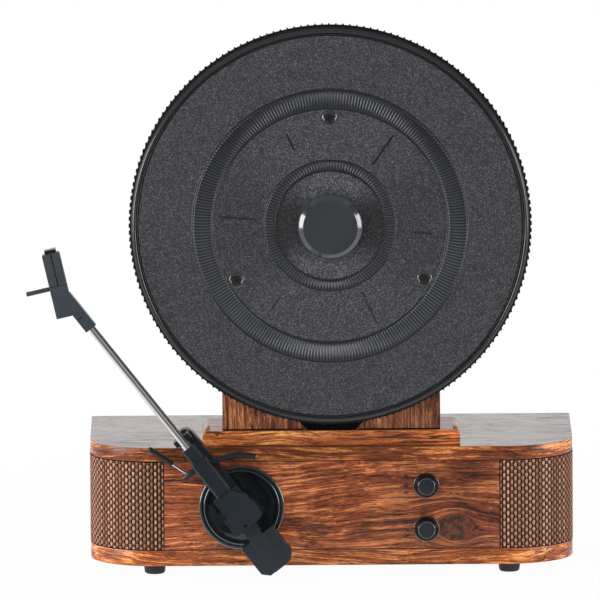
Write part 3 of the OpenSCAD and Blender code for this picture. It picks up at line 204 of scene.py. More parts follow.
softbox("overhead", (-0.35, -1.15, 1.9), (0, 0, 0.2), width=1.5, height=0.9, watts=8, mirrored=False)
softbox("front_fill", (-0.5, -2.3, 1.3), (0, 0, 0.2), width=1.8, height=0.9, watts=15, mirrored=False)
softbox("left_box", (-1.70, -0.80, 0.42), (0, 0, 0.25), width=1.2, height=0.9, watts=25)
softbox("right_box", (1.70, -0.80, 0.42), (0, 0, 0.25), width=1.2, height=0.9, watts=18)
softbox("left_edge", (-1.4, 0.65, 0.40), (0, -0.1, 0.25), width=0.20, height=0.9, watts=2)
softbox("right_edge", (1.4, 0.65, 0.45), (0, -0.1, 0.25), width=0.20, height=0.9, watts=1.6)

turn = np.linspace(0, 2 * np.pi, floor_turns, endpoint=False)
reach = np.array(floor_rings)
flat = np.zeros((len(reach), floor_turns))
grid = np.stack([np.outer(reach, np.cos(turn)), np.outer(reach, np.sin(turn)), flat], -1)
floor = skin("floor", grid, inside=(0, 0, -1), around=(False, True))
paper = bpy.data.materials.new("pale_floor")
paper.use_nodes = True
tree = paper.node_tree
tree.nodes.clear()
ray = shader(tree, "LightPath").outputs
at = place_of(tree)
seen = reckon(tree, "MAXIMUM", ray["Is Camera Ray"], ray["Is Transmission Ray"])
dimmed = rise(tree, parts_of(tree, at)["Y"], *floor_dim_y, floor_dim, 1.0)
mirrored = product(tree, ray["Is Glossy Ray"], dimmed)
lit = shader(tree, "BsdfDiffuse", {"Color": floor_grey})
glow = shader(tree, "Emission", {"Color": white, "Strength": reckon(tree, "MAXIMUM", seen, mirrored)})
shown = product(tree, seen, rise(tree, length_of(tree, at), *floor_shown_r, floor_shown, 1.0))
share = reckon(tree, "MAXIMUM", shown, product(tree, ray["Is Glossy Ray"], floor_mirrored))
both = shader(tree, "MixShader", {0: share, 1: lit.outputs[0], 2: glow.outputs[0]})
tree.links.new(both.outputs[0], shader(tree, "OutputMaterial").inputs[0])
floor.data.materials.append(paper)

# Cabinet and tower boards: fibreboard under a rosewood-like veneer, lacquered to a low gloss. They stand on
# one another, and bolts from below hold the column. The grain runs along each board, and up the column.
panel_tones = ((0.060, 0.014, 0.006, 1), (0.290, 0.067, 0.020, 1), (0.76, 0.255, 0.085, 1))
pore_dark, reflected_grey = (0.014, 0.005, 0.003, 1), (0.50, 0.58, 0.66, 1)
sway_m, line_dark, grain_relief_mm, wood_specular, yellow_power = 0.026, 0.85, 0.03, 0.3, 1.1
face_near, face_far, turn_x, board_front = 0.0001, 0.0004, 0.12, -0.08
weld_m, sharp_degrees = 1e-6, 38


def tint(tree, blend, amount, under, over):
    """Colour under with colour over laid on it by amount, by a blend mode of the Mix node."""
    return shader(tree, "Mix", {0: amount, 6: under, 7: over}, data_type="RGBA", blend_type=blend).outputs[2]


def shaded(tree, colour, red, green, blue):
    """A colour with its red, green and blue multiplied by three values."""
    shade = shader(tree, "CombineColor", {0: red, 1: green, 2: blue}).outputs[0]
    return tint(tree, "MULTIPLY", 1.0, colour, shade)


def vector(tree, operation, first, second):
    """The result of one Vector Math node on two vectors, tuples or sockets."""
    return shader(tree, "VectorMath", {0: first, 1: second}, operation=operation).outputs[0]


def effect(name, takes, gives):
    """An empty node group with inputs takes and outputs gives, both {name: socket kind}.
    Returns its tree, the input sockets by name, and its output node."""
    made = bpy.data.node_groups.new(name, "ShaderNodeTree")
    for side, sockets in (("INPUT", takes), ("OUTPUT", gives)):
        for socket, kind in sockets.items():
            made.interface.new_socket(socket, in_out=side, socket_type="NodeSocket" + kind)
    return made, made.nodes.new("NodeGroupInput").outputs, made.nodes.new("NodeGroupOutput")


def placed(tree, group, values):
    """A node group used in a material with its own values: its outputs by name."""
    made = tree.nodes.new("ShaderNodeGroup")
    made.node_tree = group
    fill(tree, made, values)
    return made.outputs


def clouds(tree, where, counts, detail=2.0, rough=0.5):
    """The outputs of a noise at the point where, of so many counts per metre along X, Y and Z. The first
    is a value from 0 to 1."""
    spread = shader(tree, "Mapping", {"Vector": where, "Scale": counts}).outputs[0]
    values = {"Vector": spread, "Scale": 1.0, "Detail": detail, "Roughness": rough}
    return shader(tree, "TexNoise", values).outputs


grain, taken, given = effect(
    "rosewood_grain",
    {"Along": "Vector", "Dark": "Color", "Mid": "Color", "Light": "Color", "Pore": "Color",
     "Flame": "Float"},
    {"Colour": "Color", "Roughness": "Float", "Relief": "Float", "Coat": "Float"})
sway = clouds(grain, taken["Along"], (7, 10, 10), detail=2.5)["Color"]
sway = vector(grain, "SUBTRACT", sway, (0.5, 0.5, 0.5))
along = vector(grain, "ADD", taken["Along"], vector(grain, "MULTIPLY", sway, (sway_m, sway_m, sway_m)))
band = clouds(grain, along, (13, 420, 420), detail=6.0, rough=0.66)[0]
growth = clouds(grain, along, (7, 330, 330), detail=1.5)[0]
streak = clouds(grain, along, (34, 1250, 1250), detail=3.0, rough=0.6)[0]
fibre = clouds(grain, along, (220, 2600, 2600))[0]
flame = clouds(grain, taken["Along"], (16, 46, 46), detail=3.0, rough=0.55)[0]
lifted = reckon(grain, "ADD", band, product(grain, reckon(grain, "SUBTRACT", flame, 0.5), taken["Flame"]))
colour = tint(grain, "MIX", rise(grain, lifted, 0.31, 0.47), taken["Dark"], taken["Mid"])
colour = tint(grain, "MIX", rise(grain, lifted, 0.50, 0.64), colour, taken["Light"])
# Thin growth lines lie where a long noise crosses its middle, and short streaks where a fine one is high.
crossing = reckon(grain, "ABSOLUTE", reckon(grain, "SUBTRACT", growth, 0.5))
growth_line = product(grain, rise(grain, crossing, 0.012, 0.036, 1.0, 0.0),
                      rise(grain, flame, 0.36, 0.60, 1.0, 0.35), line_dark)
dark_line = reckon(grain, "MAXIMUM", growth_line, rise(grain, streak, 0.55, 0.64, 0.0, line_dark))
colour = tint(grain, "MIX", dark_line, colour, taken["Pore"])
fleck = rise(grain, fibre, 0.3, 0.7, 0.52, 1.40)
dull = rise(grain, fibre, 0.2, 0.8, 0.32, 0.45)
fill(grain, given, {
    "Colour": shaded(grain, colour, fleck, fleck, fleck),
    "Roughness": reckon(grain, "ADD", product(grain, dark_line, 0.14), dull),
    "Relief": reckon(grain, "SUBTRACT", product(grain, fibre, 0.35), dark_line),
    "Coat": reckon(grain, "SUBTRACT", 1.0, product(grain, dark_line, 0.75))})


def fresh_material(name):
    """A material with an empty Principled shader: the material, its tree and the shader."""
    made = bpy.data.materials.new(name)
    made.use_nodes = True
    tree = made.node_tree
    tree.nodes.clear()
    body = shader(tree, "BsdfPrincipled")
    tree.links.new(body.outputs[0], shader(tree, "OutputMaterial").inputs[0])
    return made, tree, body


def surface(tree, body, look, relief_mm=0.0, **constants):
    """Wires an effect's colour, roughness and relief to the shader, and sets its constants."""
    fill(tree, body, {"Base Color": look["Colour"], "Roughness": look["Roughness"]})
    if relief_mm:
        bump = shader(tree, "Bump", {"Height": look["Relief"], "Strength": 1.0, "Distance": relief_mm / 1000})
        tree.links.new(bump.outputs[0], body.inputs["Normal"])
    for socket, value in constants.items():
        body.inputs[socket.replace("_", " ")].default_value = value


def grain_axes(tree, axes, shift):
    """Object coordinates named again as along, across and through the grain, moved by shift metres.
    Along "round" is the length round a board's edge, x + side(x) (y - board_front), where side goes
    smoothly from -1 at x = -turn_x to 1 at x = turn_x. An axis of None gives 0."""
    at = parts_of(tree, place_of(tree))
    way = {"X": at["X"], "Y": at["Y"], "Z": at["Z"], None: 0.0}
    if "round" in axes:
        side = rise(tree, at["X"], -turn_x, turn_x, -1.0, 1.0)
        behind = reckon(tree, "SUBTRACT", at["Y"], board_front)
        way["round"] = reckon(tree, "ADD", at["X"], product(tree, side, behind))
    turned = shader(tree, "CombineXYZ", {number: way[axis] for number, axis in enumerate(axes)}).outputs[0]
    return vector(tree, "ADD", turned, shift)


def extent(node):
    """The lowest and highest X, Y and Z of a CAD node at rest, by name, in metres to the micrometre."""
    return dict(zip("XYZ", np.round(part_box(node), 6).T.tolist()))


def dress(material, *names):
    """Gives CAD nodes a material."""
    for name in names:
        nodes[name].material_slots[0].material = material


def veneer(name, board, axes, shift, tones, flame, ends, lacquer, top_lacquer, reflection_share=0.0, shoulder=0.0):
    """The veneer on a board: grain along one line on its upright faces, and along X on its level ones, with
    painted light and shade that scale its colour by ends at its left and right, though not on the top. The
    lacquer is thin over the dark lines, and the top, with the round shoulders that a radius gives, is painted
    grey by the share given, a painted reflection of the pale room."""
    made, tree, body = fresh_material(name)
    box = extent(board)
    (low, high), front, half = box["Z"], min(box["Y"]), max(box["X"])
    at = parts_of(tree, place_of(tree))
    top = rise(tree, at["Z"], high - face_far, high - face_near)
    if shoulder:
        sideways = reckon(tree, "ABSOLUTE", at["X"])
        rounded = product(tree, rise(tree, sideways, half - shoulder, half - 0.9 * shoulder),
                          rise(tree, at["Z"], high - shoulder, high - 0.6 * shoulder),
                          rise(tree, at["Y"], front + face_far, front + 2 * face_far))
        top = reckon(tree, "MAXIMUM", top, rounded)
    level = reckon(tree, "MAXIMUM", top, rise(tree, at["Z"], low + face_near, low + face_far, 1.0, 0.0))
    upright_grain, level_grain = grain_axes(tree, axes, shift), grain_axes(tree, ("X", "Y", None), shift)
    lies = shader(tree, "Mix", {0: level, 4: upright_grain, 5: level_grain}, data_type="VECTOR").outputs[1]
    look = placed(tree, grain, {"Along": lies, "Dark": tones[0], "Mid": tones[1], "Light": tones[2],
                                "Pore": pore_dark, "Flame": flame})
    # Painted light and shade: the colour is scaled by ends towards the board's left and right.
    shade = product(tree, rise(tree, at["X"], -half, -0.3 * half, ends[0], 1.0),
                    rise(tree, at["X"], 0.3 * half, half, 1.0, ends[1]))
    bright = shaded(tree, look["Colour"], shade, reckon(tree, "POWER", shade, yellow_power), shade)
    colour = tint(tree, "MIX", top, bright, look["Colour"])
    # Painted reflection: the top is tinted grey, as if it mirrored the pale room.
    grey = tint(tree, "MULTIPLY", 1.0, colour, reflected_grey)
    surface(tree, body, {"Colour": tint(tree, "MIX", product(tree, top, reflection_share), colour, grey),
                         "Roughness": look["Roughness"], "Relief": look["Relief"]}, grain_relief_mm,
            Specular_IOR_Level=wood_specular, Coat_Roughness=0.12)
    coat = product(tree, look["Coat"], rise(tree, top, 0.0, 1.0, lacquer, top_lacquer))
    tree.links.new(coat, body.inputs["Coat Weight"])
    dress(made, board)


veneer("veneer_top", "top_board", ("round", "Z", None), shift=(0.31, 0.17, 0.05),
       tones=((0.038, 0.009, 0.004, 1), (0.152, 0.033, 0.008, 1), (0.56, 0.180, 0.050, 1)),
       flame=0.5, ends=(1.5, 2.0), lacquer=0.15, top_lacquer=1.0, reflection_share=0.75)
veneer("veneer_bottom", "bottom_board", ("round", "Z", None), shift=(0.52, 0.71, 0.23),
       tones=((0.048, 0.011, 0.005, 1), (0.250, 0.057, 0.014, 1), (0.72, 0.265, 0.080, 1)),
       flame=0.5, ends=(1.9, 1.8), lacquer=0.15, top_lacquer=0.4)
# The tier's tones are lighter than the other boards': painted light that makes up for the platter's shadow.
veneer("veneer_tier", "tier_plate", ("round", "Z", None), shift=(0.77, 0.42, 0.11),
       tones=((0.090, 0.022, 0.008, 1), (0.490, 0.130, 0.032, 1), (0.96, 0.385, 0.115, 1)),
       flame=0.4, ends=(1.35, 1.6), lacquer=0.4, top_lacquer=0.6, reflection_share=0.75, shoulder=0.0055)
veneer("veneer_sides", "side_panels", ("Y", "Z", "X"), shift=(0.13, 0.62, 0.29), tones=panel_tones,
       flame=0.4, ends=(1.0, 1.0), lacquer=0.4, top_lacquer=0.4)
veneer("veneer_column", "column", ("Z", "X", "Y"), shift=(0.55, 0.08, 0.37),
       tones=((0.060, 0.021, 0.011, 1), (0.315, 0.094, 0.036, 1), (0.66, 0.270, 0.115, 1)),
       flame=0.4, ends=(1.35, 0.62), lacquer=0.4, top_lacquer=0.4)


def ease_edges(width_mm, *names):
    """Breaks the sharp edges of CAD nodes by a small bevel, as sanding, moulding and polishing do."""
    for name in names:
        joined = nodes[name].modifiers.new("join", "WELD")
        joined.merge_threshold = weld_m
        bevel = nodes[name].modifiers.new("eased", "BEVEL")
        bevel.width = width_mm / 1000
        bevel.segments = 2
        bevel.limit_method = "ANGLE"
        bevel.angle_limit = np.radians(sharp_degrees)
        bevel.harden_normals = True


ease_edges(0.5, "top_board", "bottom_board", "front_panel", "tier_plate")

# Front panel: fibreboard under the same veneer, set between the boards, with a knot beside the lower
# knob. The grain flows round the knot as a stream flows round a post: the line across the grain is
# v (1 - 1 / r2) outside the knot's ellipse r2 = 1.
knot_x, knot_z, knot_a, knot_b = 0.0945, 0.0385, 0.0125, 0.0098
knot_dark, knot_light = (0.050, 0.021, 0.014, 1), (0.270, 0.080, 0.036, 1)
right_shade, left_shine = (0.42, 0.40, 0.42, 1), (1.65, 1.85, 2.00, 1)
shade_in, shade_out, shine_out = (0.012, 0.062), (0.096, 0.125), (-0.112, -0.080)
grain_height, grain_depth, seam_share = 0.236, 0.14, 0.9
seam_top, seam_foot = (0.0009, 0.0004), (0.0006, 0.0013)
panel_y, (panel_low, panel_high) = min(extent("front_panel")["Y"]), extent("front_panel")["Z"]
panel_wood, tree, body = fresh_material("veneer_panel")
at = parts_of(tree, place_of(tree))
far = reckon(tree, "DIVIDE", reckon(tree, "SUBTRACT", at["X"], knot_x), knot_a)
high = reckon(tree, "DIVIDE", reckon(tree, "SUBTRACT", at["Z"], knot_z), knot_b)
square = reckon(tree, "ADD", product(tree, far, far), product(tree, high, high))
kept = reckon(tree, "SUBTRACT", 1.0, reckon(tree, "DIVIDE", 1.0, reckon(tree, "MAXIMUM", square, 1.0)))
across = reckon(tree, "ADD", product(tree, high, knot_b, kept), grain_height)
flow = shader(tree, "CombineXYZ", {0: at["X"], 1: across, 2: grain_depth}).outputs[0]
look = placed(tree, grain, {"Along": flow, "Dark": panel_tones[0], "Mid": panel_tones[1],
                            "Light": panel_tones[2], "Pore": pore_dark, "Flame": 0.55})
whirl = clouds(tree, place_of(tree), (160, 160, 160), detail=4.0, rough=0.65)[0]
core = tint(tree, "MIX", rise(tree, whirl, 0.38, 0.62), knot_dark, knot_light)
colour = tint(tree, "MIX", rise(tree, square, 0.78, 1.15), core, look["Colour"])
# Painted shade darkens the panel towards its right, and painted light brightens its left end.
darker = product(tree, rise(tree, at["X"], *shade_in, 0.0, 0.76),
                 rise(tree, at["X"], *shade_out, 1.0, 0.78))
colour = tint(tree, "MIX", darker, colour, tint(tree, "MULTIPLY", 1.0, colour, right_shade))
lighter = rise(tree, at["X"], *shine_out, 0.75, 0.0)
colour = tint(tree, "MIX", lighter, colour, tint(tree, "MULTIPLY", 1.0, colour, left_shine))
# Thin dark lines along the panel's top and bottom edges are painted shade in its joints with the boards.
top_seam = rise(tree, at["Z"], panel_high - seam_top[0], panel_high - seam_top[1])
foot_seam = rise(tree, at["Z"], panel_low + seam_foot[0], panel_low + seam_foot[1], 1.0, 0.0)
seam_shade = reckon(tree, "MAXIMUM", top_seam, foot_seam)
colour = tint(tree, "MIX", product(tree, seam_shade, seam_share), colour, pore_dark)
surface(tree, body, {"Colour": colour, "Roughness": look["Roughness"], "Relief": look["Relief"]},
        grain_relief_mm, Specular_IOR_Level=wood_specular, Coat_Weight=0.35, Coat_Roughness=0.15)
dress(panel_wood, "front_panel")

# Back panel, corner blocks, column cover and speaker boards: fibreboard painted a dark brown-black. Panel
# and cover are screwed on from behind, and the others stand in the cabinet. Plastics and paint share one
# effect, a fine speckle in the colour, a drift in the gloss and a skin of tiny dimples.
speckle, taken, given = effect(
    "moulded_skin",
    {"At": "Vector", "Ground": "Color", "Speck": "Color", "Size mm": "Float", "Share": "Float",
     "Gloss": "Float", "Drift": "Float"},
    {"Colour": "Color", "Roughness": "Float", "Relief": "Float"})
count = reckon(speckle, "DIVIDE", 1000.0, taken["Size mm"])
fine = {"Vector": taken["At"], "Scale": count, "Detail": 2.0, "Roughness": 0.6}
fine = shader(speckle, "TexNoise", fine).outputs[0]
broad = clouds(speckle, taken["At"], (35, 35, 35), detail=3.0)[0]
dots = product(speckle, rise(speckle, fine, 0.50, 0.68), taken["Share"])
colour = tint(speckle, "MIX", dots, taken["Ground"], taken["Speck"])
shade = rise(speckle, broad, 0.25, 0.75, 0.90, 1.08)
drift = product(speckle, reckon(speckle, "SUBTRACT", broad, 0.5), taken["Drift"])
fill(speckle, given, {
    "Colour": shaded(speckle, colour, shade, shade, shade),
    "Roughness": reckon(speckle, "ADD", taken["Gloss"], drift, clamp=True),
    "Relief": fine})


def moulded(name, ground, speck, size_mm, share, gloss, drift, relief_mm, wears=(), **constants):
    """A moulded or painted finish on the CAD nodes in wears; returns the material for further pieces."""
    made, tree, body = fresh_material(name)
    look = placed(tree, speckle, {"At": place_of(tree), "Ground": ground, "Speck": speck, "Size mm": size_mm,
                                  "Share": share, "Gloss": gloss, "Drift": drift})
    surface(tree, body, look, relief_mm, **constants)
    dress(made, *wears)
    return made


moulded("painted_board", (0.020, 0.016, 0.014, 1), (0.045, 0.036, 0.030, 1), size_mm=0.9, share=0.5,
        gloss=0.55, drift=0.2, relief_mm=0.04,
        wears=("back_panel", "corner_blocks", "column_back", "speaker_baffles"))
ease_edges(0.6, "back_panel", "column_back")

# Grilles: a plastic frame between the boards at each front corner, with an open cloth stretched round it.
# Tan upright yarns go over and under dark crosswise yarns in a plain weave.
moulded("frame_plastic", (0.010, 0.010, 0.011, 1), (0.03, 0.03, 0.03, 1), size_mm=0.5, share=0.4, gloss=0.5,
        drift=0.1, relief_mm=0.02, wears=("grille_frames",))

corner_x, corner_y, cloth_r, cloth_proud = 0.135, -0.030, 0.0501, 0.0003
cloth_box = extent("right_grille_cloth")
cloth_start, cloth_end, (cloth_low, cloth_high) = min(cloth_box["X"]), max(cloth_box["Y"]), cloth_box["Z"]
warp_pitch, weft_pitch, warp_r, weft_r, lift = 0.0029, 0.00267, 0.00108, 0.00118, 0.00045
per_yarn = 8
front_run, bend_run, side_run = corner_x - cloth_start, cloth_r * np.pi / 2, cloth_end - corner_y
cloth_run, cloth_h = front_run + bend_run + side_run, cloth_high - cloth_low
tan_dark, tan_light, tan_twist = (0.30, 0.135, 0.078, 1), (0.64, 0.335, 0.215, 1), (0.20, 0.085, 0.050, 1)
brown_dark, brown_highlight = (0.018, 0.007, 0.003, 1), (0.140, 0.092, 0.068, 1)
hole_shade, cloth_specular = (0.016, 0.004, 0.001, 1), 0.12


def grille_path(run):
    """The cloth's line from above, at a length run from its front end: straight across the front,
    a quarter turn round the corner, and straight along the side. Returns points and outward ways."""
    angle = np.clip((run - front_run) / cloth_r, 0, np.pi / 2)
    x = corner_x + cloth_r * np.sin(angle) - np.clip(front_run - run, 0, None)
    y = corner_y - cloth_r * np.cos(angle) + np.clip(run - front_run - bend_run, 0, None)
    return np.stack([x, y], -1), np.stack([np.sin(angle), -np.cos(angle)], -1)


def yarn_back(offset, half):
    """How far a flattened yarn's back falls at an offset from its middle:
    half ((1 - |offset / half|^3)^(1/3) - 1)."""
    return half * (np.cbrt(np.clip(1 - np.abs(offset / half) ** 3, 0, None)) - 1)


def weave(run, height):
    """Height of the cloth over its middle, which yarn is on top, 0 upright and 1 crosswise, and the
    numbers i and j of the nearest yarns. Upright yarn i lies at lift cos(pi (height / weft pitch - i))
    plus its back, and crosswise yarn j at -lift cos(pi (run / warp pitch - j)) plus its own; the higher
    one is seen, and no hole is deeper than 2.4 lift."""
    i, j = np.round(run / warp_pitch), np.round(height / weft_pitch)
    upright = lift * np.cos(np.pi * (height / weft_pitch - i)) + yarn_back(run - i * warp_pitch, warp_r)
    across = -lift * np.cos(np.pi * (run / warp_pitch - j)) + yarn_back(height - j * weft_pitch, weft_r)
    return np.maximum(np.maximum(upright, across), -2.4 * lift), (across > upright).astype(float), i, j


def attribute(tree, name):
    """The value of a mesh attribute at the point."""
    return shader(tree, "Attribute", attribute_name=name).outputs["Fac"]


cloth, tree, body = fresh_material("grille_weave")
twist = clouds(tree, place_of(tree), (1500, 1500, 3000))[0]
tan = tint(tree, "MIX", attribute(tree, "yarn_shade"), tan_dark, tan_light)
tan = tint(tree, "MIX", rise(tree, twist, 0.45, 0.75, 0.0, 0.8), tan, tan_twist)
# The crowns of the crosswise yarns are painted lighter: a painted highlight.
brown = tint(tree, "MIX", rise(tree, attribute(tree, "crown"), 0.45, 1.0), brown_dark, brown_highlight)
thread = tint(tree, "MIX", attribute(tree, "crosswise"), tan, brown)
# The deep hollows between the yarns are painted dark: painted shade.
thread = tint(tree, "MIX", rise(tree, attribute(tree, "depth"), 0.0, 0.7), thread, hole_shade)
bump = shader(tree, "Bump", {"Height": twist, "Strength": 0.6, "Distance": 0.0002}).outputs[0]
fill(tree, body, {"Base Color": thread, "Roughness": rise(tree, twist, 0.2, 0.8, 0.62, 0.85), "Normal": bump,
                  "Specular IOR Level": cloth_specular})
for side, node in ((-1, "left_grille_cloth"), (1, "right_grille_cloth")):
    run = np.linspace(0, cloth_run, int(cloth_run / warp_pitch * per_yarn))
    height = np.linspace(0, cloth_h, int(cloth_h / weft_pitch * per_yarn))
    run, height = np.meshgrid(run, height, indexing="ij")
    over, crosswise, i, j = weave(run, height)
    line, out = grille_path(run)
    flat = line + out * (over - lift + cloth_proud)[..., None]
    grid = np.concatenate([flat * (side, 1), (cloth_low + height)[..., None]], -1)
    piece = skin(node.replace("cloth", "weave"), grid, inside=(0, 0, cloth_low))
    # Each yarn's shade is the fraction of a large sine of its number, which looks random and never changes.
    shades = np.where(crosswise > 0.5, np.sin(j * 12.9898) * 43758.5453,
                      np.sin(i * 78.233 + side) * 24634.6345)
    for title, values in (("crosswise", crosswise), ("yarn_shade", shades - np.floor(shades)),
                          ("crown", np.clip(over / lift, 0, 1)),
                          ("depth", np.clip((-over - 0.05 * lift) / (1.3 * lift), 0, 1))):
        layer = piece.data.attributes.new(title, "FLOAT", "POINT")
        layer.data.foreach_set("value", values.astype(np.float32).ravel())
    piece.data.shade_smooth()
    piece.data.materials.append(cloth)
    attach(piece, "cabinet")
    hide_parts(node)

# Speakers: a pressed steel basket in the board behind each grille, and a paper cone in the basket.
# Metals share one effect: fine lines left by turning or brushing, which change the brightness and the
# gloss a little.
metal_relief_mm = 0.004
lines, taken, given = effect(
    "worked_metal",
    {"At": "Vector", "Metal": "Color", "Worn": "Color", "Counts": "Vector", "Gloss": "Float"},
    {"Colour": "Color", "Roughness": "Float", "Relief": "Float"})
spread = vector(lines, "MULTIPLY", taken["At"], taken["Counts"])
scratch = {"Vector": spread, "Scale": 1.0, "Detail": 3.0, "Roughness": 0.6}
scratch = shader(lines, "TexNoise", scratch).outputs[0]
stain = clouds(lines, taken["At"], (60, 60, 60))[0]
wear_and_light = product(lines, rise(lines, scratch, 0.35, 0.75), rise(lines, stain, 0.3, 0.7, 0.2, 0.7))
fill(lines, given, {
    "Colour": tint(lines, "MIX", wear_and_light, taken["Metal"], taken["Worn"]),
    "Roughness": reckon(lines, "ADD", taken["Gloss"], product(lines, scratch, 0.08), clamp=True),
    "Relief": scratch})


def metal(name, colour, wear_and_light, counts, gloss, *wears):
    """A metal worked in so many lines per metre along X, Y and Z, on the CAD nodes in wears; returns the
    material for further pieces."""
    made, tree, body = fresh_material(name)
    look = placed(tree, lines, {"At": place_of(tree), "Metal": colour, "Worn": wear_and_light, "Counts": counts,
                                "Gloss": gloss})
    surface(tree, body, look, metal_relief_mm, Metallic=1.0)
    dress(made, *wears)
    return made


metal("basket_steel", (0.10, 0.10, 0.105, 1), (0.20, 0.20, 0.21, 1), (900, 900, 900), 0.38, "speaker_frames")
moulded("cone_paper", (0.016, 0.015, 0.014, 1), (0.060, 0.055, 0.050, 1), size_mm=1.6, share=0.5, gloss=0.85,
        drift=0.1, relief_mm=0.10, wears=("speaker_cones",))

# Feet and screws: rubber feet held by screws from below, and blackened steel screws
# in the boards, the tower and the platter.
moulded("foot_rubber", (0.014, 0.014, 0.014, 1), (0.035, 0.035, 0.034, 1), size_mm=0.8, share=0.5, gloss=0.62,
        drift=0.2, relief_mm=0.03, wears=("feet",))
metal("black_screw", (0.055, 0.055, 0.060, 1), (0.18, 0.17, 0.16, 1), (2500, 2500, 2500), 0.34,
      "wood_screws", "tower_bolts", "platter_screws")
ease_edges(0.5, "feet")

# Electronics: a green board on brass posts, and a plastic plate on the back panel with the line sockets,
# a small jack socket and the power inlet.
moulded("board_lacquer", (0.010, 0.075, 0.030, 1), (0.030, 0.150, 0.060, 1), size_mm=2.2, share=0.8,
        gloss=0.35, drift=0.1, relief_mm=0.02, wears=("main_board",))
metal("turned_brass", (0.62, 0.43, 0.18, 1), (0.38, 0.25, 0.10, 1), (300, 3000, 300), 0.24,
      "board_standoffs", "bearing_bush", "arm_bush", "motor_pulley")
moulded("socket_plastic", (0.012, 0.012, 0.013, 1), (0.035, 0.035, 0.036, 1), size_mm=0.6, share=0.5,
        gloss=0.42, drift=0.1, relief_mm=0.02, wears=("jack_plate", "aux_socket", "power_inlet"))
metal("nickel_plate", (0.66, 0.64, 0.60, 1), (0.48, 0.46, 0.43, 1), (300, 3500, 300), 0.18, "rca_sockets")
ease_edges(0.4, "jack_plate")

# Drive: a steel motor behind the black plate at the column's foot, its pulley and rubber belt, the plastic
# drive wheel behind the platter, and the spindle in its flanged bearing. A thin black strip along the
# column's foot on both sides of the plate is painted shade: it stands for the shadow line there.
metal("zinc_steel", (0.52, 0.53, 0.55, 1), (0.36, 0.37, 0.38, 1), (400, 2600, 400), 0.28,
      "motor", "rotary_switches", "spindle", "spindle_clip", "speed_shaft", "function_shaft", "arm_nut",
      "pivot_shaft", "tilt_pins")
plate_paint = moulded("plate_paint", (0.003, 0.003, 0.003, 1), (0.006, 0.006, 0.006, 1), size_mm=0.5,
                      share=0.4, gloss=0.42, drift=0.1, relief_mm=0.02, wears=("motor_plate",),
                      Specular_IOR_Level=0.05)
moulded("belt_rubber", (0.013, 0.013, 0.013, 1), (0.030, 0.030, 0.030, 1), size_mm=0.7, share=0.5, gloss=0.6,
        drift=0.1, relief_mm=0.02, wears=("drive_belt",))
moulded("wheel_plastic", (0.022, 0.022, 0.023, 1), (0.050, 0.050, 0.052, 1), size_mm=0.8, share=0.5,
        gloss=0.45, drift=0.1, relief_mm=0.02, wears=("drive_wheel", "bearing_flange"))
shadow_strip_start, shadow_strip_t, shadow_strip_h = 0.0220, 0.0008, 0.0007
column_box = extent("column")
shadow_strip_end, back, low = max(column_box["X"]), min(column_box["Y"]), min(column_box["Z"])
front, high = back - shadow_strip_t, low + shadow_strip_h
shadow_strip_section = ((back, low), (front, low), (front, high), (back, high))
# Each strip is painted shade, a black bar where the shadow line lies.
for title, side in (("foot_shadow_left", -1), ("foot_shadow_right", 1)):
    # A square bar, whose two ends are closed by drawing a last ring together to a point.
    bar = np.array([[(x, y, z) for y, z in shadow_strip_section] for x in (side * shadow_strip_start, side * shadow_strip_end)])
    middle = np.broadcast_to(bar.mean(1, keepdims=True), bar.shape)
    grid = np.stack([middle[0], bar[0], bar[1], middle[1]])
    piece = skin(title, grid, inside=bar.mean((0, 1)), around=(False, True))
    piece.data.materials.append(plate_paint)
    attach(piece, "cabinet")

# Platter: one moulding of charcoal plastic with a light fleck in it, screwed to the drive wheel. The two
# sloping rings are ribbed, the rim carries a satin toothed band, and a glossy clamp sits on the spindle.
field_r, groove_y, groove_w, edge_soft = 0.1459, -0.0972, 0.0026, 0.0002
label_r, label_soft, band_start, band_soft, ring_r = 0.0405, 0.003, 0.006, 0.001, 0.0890
tick_in, tick_out, tick_y, tick_deep, tick_soft = 0.0560, 0.0848, -0.0962, 0.0005, 0.0005
charcoal, tick_shade = (0.0330, 0.0335, 0.0370, 1), (0.006, 0.006, 0.007, 1)
rim_dark, groove_shade = (0.021, 0.022, 0.024, 1), (0.002, 0.002, 0.002, 1)
fleck_count, fleck_relief = 2000.0, 0.00004


def axis_of(name):
    """The X and Z of the axis of a joint that turns about Y, in metres."""
    place = next(joint["pos_m"] for joint in frame["joints"] if joint["name"] == name)
    return place[0], place[2]


spindle_z = axis_of("platter_spin")[1]
platter_skin, tree, body = fresh_material("platter_plastic")
at = place_of(tree)
spoke = vector(tree, "MULTIPLY", vector(tree, "SUBTRACT", at, (0, 0, spindle_z)), (1, 0, 1))
radius = length_of(tree, spoke)
depth = parts_of(tree, at)["Y"]
fleck = shader(tree, "TexVoronoi", {"Vector": at, "Scale": fleck_count}).outputs["Color"]
fleck = shader(tree, "SeparateColor", {0: fleck}).outputs
bright = rise(tree, fleck["Red"], 0.62, 1.0, 0.52, 3.9)
colour = shaded(tree, charcoal, bright, bright, bright)
# The label floor and, less so, the band between the rings carry a painted sheen: painted highlights above
# and below the spindle, and painted shade at its left and right.
upright = reckon(tree, "DIVIDE", parts_of(tree, spoke)["Z"], radius)
painted_sheen = rise(tree, product(tree, upright, upright), 0.05, 0.75, 0.55, 1.60)
turned = shaded(tree, colour, painted_sheen, painted_sheen, painted_sheen)
colour = tint(tree, "MIX", rise(tree, radius, label_r, label_r + label_soft, 1.0, 0.0), colour, turned)
band_r = label_r + band_start
between = product(tree, rise(tree, radius, band_r, band_r + band_soft),
                  rise(tree, radius, ring_r, ring_r + band_soft, 0.3, 0.0))
colour = tint(tree, "MIX", between, colour, turned)
